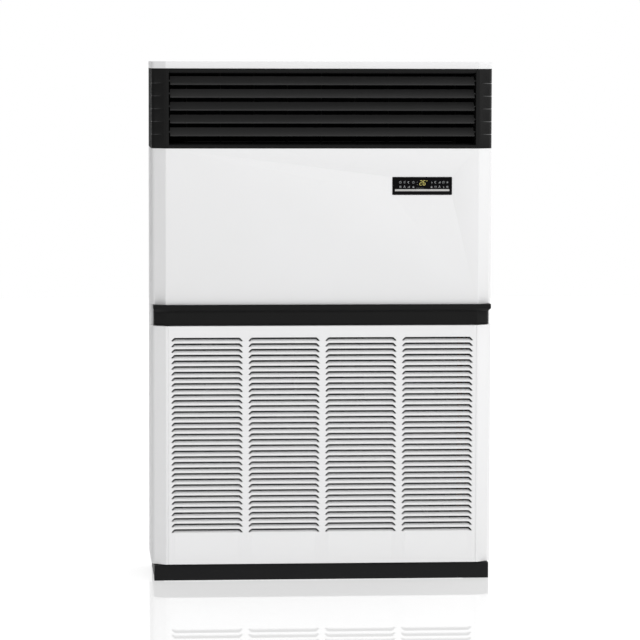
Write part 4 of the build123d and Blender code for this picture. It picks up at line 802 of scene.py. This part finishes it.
# radius and height in mm, from the seat to the edge of the recess
SCREW_PROFILE = ((5.0, 0.0), (5.0, 0.55), (4.7, 1.15), (3.9, 1.65), (2.6, 1.93), (1.1, 2.0))
SCREW_COLUMNS, SCREW_ROWS = 2, 5
SCREW_LOW, SCREW_HIGH, SCREW_APART = 0.078, 1.8055, 1.189
CROSS_LONG, CROSS_SHORT, CROSS_DRAFT, CROSS_FLOOR = 2.3 * MM, 0.75 * MM, 0.9, 0.9 * MM
screw = bmesh.new()
rings = [
    ring(screw, (0, 0), radius * MM, SCREW_SEAT + height * MM, SCREW_SIDES)
    for radius, height in SCREW_PROFILE
]
for a, b in zip(rings, rings[1:]):
    bridge(screw, a, b)
# The last ring is drawn into a cross, with every other pair of its points pulled inwards
for n, v in enumerate(rings[-1]):
    scale = (CROSS_LONG if n % 4 in (0, 1) else CROSS_SHORT) / math.hypot(v.co.x, v.co.z)
    v.co.x *= scale
    v.co.z *= scale
cross_floor = [
    screw.verts.new((v.co.x * CROSS_DRAFT, SCREW_SEAT + CROSS_FLOOR, v.co.z * CROSS_DRAFT))
    for v in rings[-1]
]
bridge(screw, rings[-1], cross_floor)
screw.faces.new(cross_floor)
screw.faces.new(rings[0][::-1])
bmesh.ops.recalc_face_normals(screw, faces=screw.faces)
screws = repeated(
    mesh_of(screw, "screw_head"), "cabinet_screws", SCREW_COLUMNS, SCREW_ROWS, SCREW_APART,
    (SCREW_HIGH - SCREW_LOW) / (SCREW_ROWS - 1), zinced_steel,
)
screws.transform(Matrix.Translation((0, 0, (SCREW_LOW + SCREW_HIGH) / 2)))
piece(screws, "cabinet_screw_heads", "cabinet", "bare_steel", zinced_steel, ("cabinet_screws",))

# ---------------------------------------------------------------- air filters with their net
FILTER_RIM, FILTER_BAR, FILTER_BARS = 0.014, 0.005, 4
FILTER_BAR_INSET, FILTER_ROUND = 0.0006, 0.0007
NET_PITCH, NET_STRAND = 0.0022, 0.0007
NET_WEAVE = 0.6  # how far each layer stands from the net's middle, as a share of half a strand


def filter_frame(low, high):
    """A rim, one upright bar and four bars across, with rounded edges."""
    middle = (low + high) / 2
    inner_x, inner_z = low.x + FILTER_RIM, low.z + FILTER_RIM
    outer_x, outer_z = high.x - FILTER_RIM, high.z - FILTER_RIM
    bm = bmesh.new()
    for z0, z1 in ((low.z, inner_z), (outer_z, high.z)):
        block(bm, (low.x, low.y, z0), (high.x, high.y, z1))
    for x0, x1 in ((low.x, inner_x), (outer_x, high.x)):
        block(bm, (x0, low.y, inner_z), (x1, high.y, outer_z))
    block(bm, (middle.x - FILTER_BAR / 2, low.y, inner_z),
          (middle.x + FILTER_BAR / 2, high.y, outer_z))
    for n in range(FILTER_BARS):
        z = middle.z + (n - (FILTER_BARS - 1) / 2) * (high.z - low.z) / (FILTER_BARS + 1)
        block(bm, (inner_x, low.y + FILTER_BAR_INSET, z - FILTER_BAR / 2),
              (outer_x, high.y - FILTER_BAR_INSET, z + FILTER_BAR / 2))
    bmesh.ops.bevel(
        bm, geom=bm.edges[:], offset=FILTER_ROUND, segments=2, affect="EDGES", clamp_overlap=True,
    )
    return bm


def filter_net(low, high):
    """Upright strands and strands across, in two layers that are moulded into each other."""
    width, height = high.x - low.x - FILTER_RIM, high.z - low.z - FILTER_RIM
    thin = NET_STRAND / 2
    net = bmesh.new()
    for columns, rows, reach, shift in (
        (int(width / NET_PITCH), 1, (thin, thin, height / 2), thin * NET_WEAVE),
        (1, int(height / NET_PITCH), (width / 2, thin, thin), -thin * NET_WEAVE),
    ):
        strand = block_mesh(
            "net_strand", (-reach[0], shift - thin, -reach[2]), (reach[0], shift + thin, reach[2]),
        )
        net.from_mesh(repeated(
            strand, "net_strands", columns, rows, NET_PITCH, NET_PITCH, moulded_polypropylene,
        ))
    bmesh.ops.translate(net, verts=net.verts, vec=(low + high) / 2)
    return net


for node in ("filter_left", "filter_right"):
    body = BODY_OF[node]
    piece_from(filter_frame(*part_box(node)), f"{node}_frame", body, "filter_net", None, (node,))
    piece_from(filter_net(*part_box(node)), f"{node}_net", body, "filter_net")

# ---------------------------------------------------------------- coil fins
# Fins stand 1.8 mm apart on the real coil: they are drawn 6 mm apart, which still reads as fins
FIN_PITCH, FIN_THICK, FIN_DEPTH, FIN_MARGIN = 0.006, 0.0008, 0.048, 0.008
END_PLATE = 0.002
TUBE_RADIUS, TUBE_SIDES, TUBE_SETBACK = 0.0048, 10, 0.004
TUBES, TUBE_ROW = 12, 0.0127  # in each of the two rows, and a row's distance from the middle
TUBE_STEPS = 12.6  # as many steps between tubes fill a fin's length
coil_low, coil_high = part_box("evaporator_coil")
coil_width = coil_high.x - coil_low.x
fin_rise = coil_high.z - coil_low.z - COIL_THICKNESS * math.sin(COIL_LEAN)
fin_length = fin_rise / math.cos(COIL_LEAN)
coil_turn = Matrix.Rotation(-COIL_LEAN, 4, "X")
fin = block_mesh(
    "coil_fin", (-FIN_THICK / 2, -FIN_DEPTH / 2, -fin_length / 2),
    (FIN_THICK / 2, FIN_DEPTH / 2, fin_length / 2),
)
fin.transform(coil_turn)
coil = bmesh.new()
fin_count = int((coil_width - FIN_MARGIN) / FIN_PITCH)
coil.from_mesh(repeated(fin, "coil_fins", fin_count, 1, FIN_PITCH, FIN_PITCH, fin_stock))
for side in (-1, 1):
    plate = block_mesh(
        "coil_end_plate", (-END_PLATE / 2, -COIL_THICKNESS / 2, -fin_length / 2),
        (END_PLATE / 2, COIL_THICKNESS / 2, fin_length / 2),
    )
    plate.transform(Matrix.Translation((side * (coil_high.x - END_PLATE / 2), 0, 0)) @ coil_turn)
    coil.from_mesh(plate)
# the tubes that run through all fins, in two rows
for n in range(TUBES):
    for row in (-1, 1):
        up = (n - (TUBES - 1) / 2) * fin_length / TUBE_STEPS
        bmesh.ops.create_cone(
            coil, cap_ends=True, segments=TUBE_SIDES, radius1=TUBE_RADIUS, radius2=TUBE_RADIUS,
            depth=coil_width - TUBE_SETBACK,
            matrix=coil_turn @ Matrix.Translation((0, row * TUBE_ROW, up))
            @ Matrix.Rotation(math.pi / 2, 4, "Y"),
        )
bmesh.ops.translate(coil, verts=coil.verts, vec=(coil_low + coil_high) / 2)
piece_from(coil, "evaporator_coil_fins", "cabinet", "fin_metal", None, ("evaporator_coil",))

# ---------------------------------------------------------------- foam in the outlet chamber
# Glued to the back, the top and both sides, down to the duct below the outlet
LINING = 0.004
CHAMBER_HALF, CHAMBER_FRONT, CHAMBER_REAR = 0.5855, -0.036, 0.1885
LINING_FOOT, CHAMBER_HIGH = 1.10, 1.823
lining = bmesh.new()
lining_rear, lining_high = CHAMBER_REAR - LINING, CHAMBER_HIGH - LINING
for low, high in (
    ((-CHAMBER_HALF, lining_rear, LINING_FOOT), (CHAMBER_HALF, CHAMBER_REAR, CHAMBER_HIGH)),
    ((-CHAMBER_HALF, CHAMBER_FRONT, lining_high), (CHAMBER_HALF, lining_rear, CHAMBER_HIGH)),
    ((-CHAMBER_HALF, CHAMBER_FRONT, LINING_FOOT),
     (LINING - CHAMBER_HALF, lining_rear, lining_high)),
    ((CHAMBER_HALF - LINING, CHAMBER_FRONT, LINING_FOOT),
     (CHAMBER_HALF, lining_rear, lining_high)),
):
    block(lining, low, high)
piece_from(lining, "outlet_chamber_lining", "cabinet", "soft_rubber", foam_sheet)

# ---------------------------------------------------------------- closings of the back's openings
OPENING_X, OPENING_Z = 0.507, 0.205
PAD_HALF_WIDTH, PAD_HALF_HEIGHT, PAD_ROUND = 0.083, 0.063, 0.0015
PAD_FRONT, PAD_REAR = 0.1870, 0.1940
pad = bmesh.new()
block(pad, (OPENING_X - PAD_HALF_WIDTH, PAD_FRONT, OPENING_Z - PAD_HALF_HEIGHT),
      (OPENING_X + PAD_HALF_WIDTH, PAD_REAR, OPENING_Z + PAD_HALF_HEIGHT))
bmesh.ops.bevel(pad, geom=pad.edges[:], offset=PAD_ROUND, segments=2, affect="EDGES")
piece_from(pad, "pipe_opening_foam", "cabinet", "soft_rubber", foam_sheet)

GROMMET_X, GROMMET_Y, GROMMET_Z = -0.5, 0.1944, 0.205
MEMBRANE_RADIUS, MEMBRANE_SIDES, MEMBRANE_HALF, MEMBRANE_DISH = 0.0112, 24, 0.0004, 0.0012
membrane = bmesh.new()
skins = []
for face_y in (-MEMBRANE_HALF, MEMBRANE_HALF):
    rings = [
        ring(membrane, (GROMMET_X, GROMMET_Z), MEMBRANE_RADIUS * share,
             GROMMET_Y + (face_y - MEMBRANE_DISH * (1 - share)), MEMBRANE_SIDES)
        for share in (1.0, 0.7, 0.35)
    ]
    for a, b in zip(rings, rings[1:]):
        bridge(membrane, a, b)
    membrane.faces.new(rings[-1])
    skins.append(rings)
bridge(membrane, skins[0][0], skins[1][0])
bmesh.ops.recalc_face_normals(membrane, faces=membrane.faces)
piece_from(membrane, "cable_grommet_membrane", "cabinet", "soft_rubber", nitrile_rubber)

# ---------------------------------------------------------------- carried-over nodes
OWN_FINISH = {"vane_rails": black_coated_steel, "vane_link_bar": black_acetal}
# The guide vanes take the darker ABS, which is painted shade between the blades
OWN_FINISH.update({f"guide_vane_{n}": matt_painted_shade_abs for n in VANES})
for node, carried in frame["nodes"].items():
    carried.data.materials.clear()
    carried.data.materials.append(OWN_FINISH.get(node, SLOT_FINISH[SLOT_OF[node]]))

# ---------------------------------------------------------------- floor
WHITE = (1, 1, 1, 1)
FLOOR_REACH = 14.0
MIRROR_SHARE = 0.3

# Polished floor: pale and dull, under a clear coat that mirrors the unit's foot
floor_finish = bpy.data.materials.new("polished_floor")
floor_tree = empty_tree(floor_finish)
pale = add_node(floor_tree, "ShaderNodeBsdfPrincipled", {
    "Base Color": linear("#9a9a9a"), "Roughness": 0.9, "Specular IOR Level": 0.0,
    "Emission Color": WHITE, "Emission Strength": 0.72,
})
mirror = add_node(floor_tree, "ShaderNodeBsdfGlossy", {"Color": WHITE, "Roughness": 0.012})
blend = add_node(floor_tree, "ShaderNodeMixShader", {"Fac": MIRROR_SHARE}, {
    1: pale.outputs["BSDF"], 2: mirror.outputs["BSDF"],
})
add_node(floor_tree, "ShaderNodeOutputMaterial", None, {"Surface": blend.outputs["Shader"]})
ground = bmesh.new()
ground.faces.new([
    ground.verts.new((x * FLOOR_REACH, y * FLOOR_REACH, 0))
    for x, y in ((-1, -1), (1, -1), (1, 1), (-1, 1))
])
floor = in_scene("studio_floor", mesh_of(ground, "studio_floor"))
floor.data.materials.append(floor_finish)

# ---------------------------------------------------------------- studio
world = bpy.data.worlds.new("studio")
bpy.context.scene.world = world
studio = empty_tree(world)


def ramp(source, start, end, low, high):
    """A value that goes from low to high while its source goes from start to end."""
    return add_node(studio, "ShaderNodeMapRange", {
        "From Min": start, "From Max": end, "To Min": low, "To Max": high,
    }, {"Value": source}).outputs["Result"]


def product(first, second):
    """Two values multiplied."""
    return add_node(
        studio, "ShaderNodeMath", None, {0: first, 1: second}, operation="MULTIPLY",
    ).outputs["Value"]


# A white room that is brighter on the right and overhead and dimmer in front of the unit. A dark
# card stands beside the unit on the left
toward = add_node(studio, "ShaderNodeTexCoord")
along = add_node(
    studio, "ShaderNodeSeparateXYZ", None, {"Vector": toward.outputs["Generated"]},
).outputs
sideways = ramp(along["X"], -1.0, 1.0, 0.90, 1.28)
overhead = ramp(along["Z"], 0.35, 0.9, 1.0, 1.4)
ahead = ramp(along["Y"], -0.7, -0.2, 0.66, 1.0)
card = product(ramp(along["X"], -0.15, -0.5, 0.0, 0.9), ramp(along["Y"], -0.45, -0.1, 0.0, 1.0))
beside_card = add_node(studio, "ShaderNodeMath", {0: 1.0}, {1: card}, operation="SUBTRACT")
strength = product(product(product(sideways, overhead), beside_card.outputs["Value"]), ahead)
room = add_node(studio, "ShaderNodeBackground", {"Color": WHITE}, {"Strength": strength})
# The camera itself sees a plain white backdrop from every side
backdrop = add_node(studio, "ShaderNodeBackground", {"Color": WHITE, "Strength": 1.0})
ray = add_node(studio, "ShaderNodeLightPath")
shown = add_node(studio, "ShaderNodeMixShader", None, {
    "Fac": ray.outputs["Is Camera Ray"], 1: room.outputs["Background"],
    2: backdrop.outputs["Background"],
})
add_node(studio, "ShaderNodeOutputWorld", None, {"Surface": shown.outputs["Shader"]})


def soft_light(name, place, aim, size, power, mirrored=True):
    """A rectangular soft box that looks at a point, and that glossy surfaces mirror or not."""
    data = bpy.data.lights.new(name, "AREA")
    data.shape = "RECTANGLE"
    data.size, data.size_y = size
    data.energy = power
    lamp = in_scene(name, data)
    lamp.visible_glossy = mirrored
    lamp.location = place
    lamp.rotation_euler = (Vector(aim) - Vector(place)).to_track_quat("-Z", "Y").to_euler()
    return lamp


# Place, aim, width and height, and power in watts
soft_light("key_top_right", (3.4, -3.2, 4.6), (0, 0, 1.0), (2.4, 2.4), 18)
soft_light("fill_front", (0.6, -6.2, 3.1), (0, 0, 1.3), (2.6, 1.6), 85, mirrored=False)
# A level light that only the outlet's blades take, so that each is evenly lit below the next
outlet_light = soft_light(
    "fill_outlet", (0, -6.0, 1.75), (0, 0, 1.68), (2.4, 0.6), 700, mirrored=False,
)
lit_blades = bpy.data.collections.new("blades")
for row in BLADES:
    lit_blades.objects.link(bpy.data.objects[f"outlet_blade_{row}_soft"])
outlet_light.light_linking.receiver_collection = lit_blades

# ---------------------------------------------------------------- camera
# A long lens 12 m in front of the unit, a little to its left and at the height of its top
CAMERA_YAW, CAMERA_PITCH, CAMERA_ROLL = 4.399, 4.434, -0.122  # degrees
camera_data = bpy.data.cameras.new("camera")
camera_data.sensor_width = 36.0
camera_data.lens = 190.8
camera_data.clip_end = 100.0
camera = in_scene("camera", camera_data)
camera.location = (-0.9345, -12.1875, 1.8665)
camera.rotation_euler = (
    math.radians(90 - CAMERA_PITCH), math.radians(CAMERA_ROLL), math.radians(-CAMERA_YAW),
)
bpy.context.scene.camera = camera
bpy.context.scene.view_settings.view_transform = "Standard"
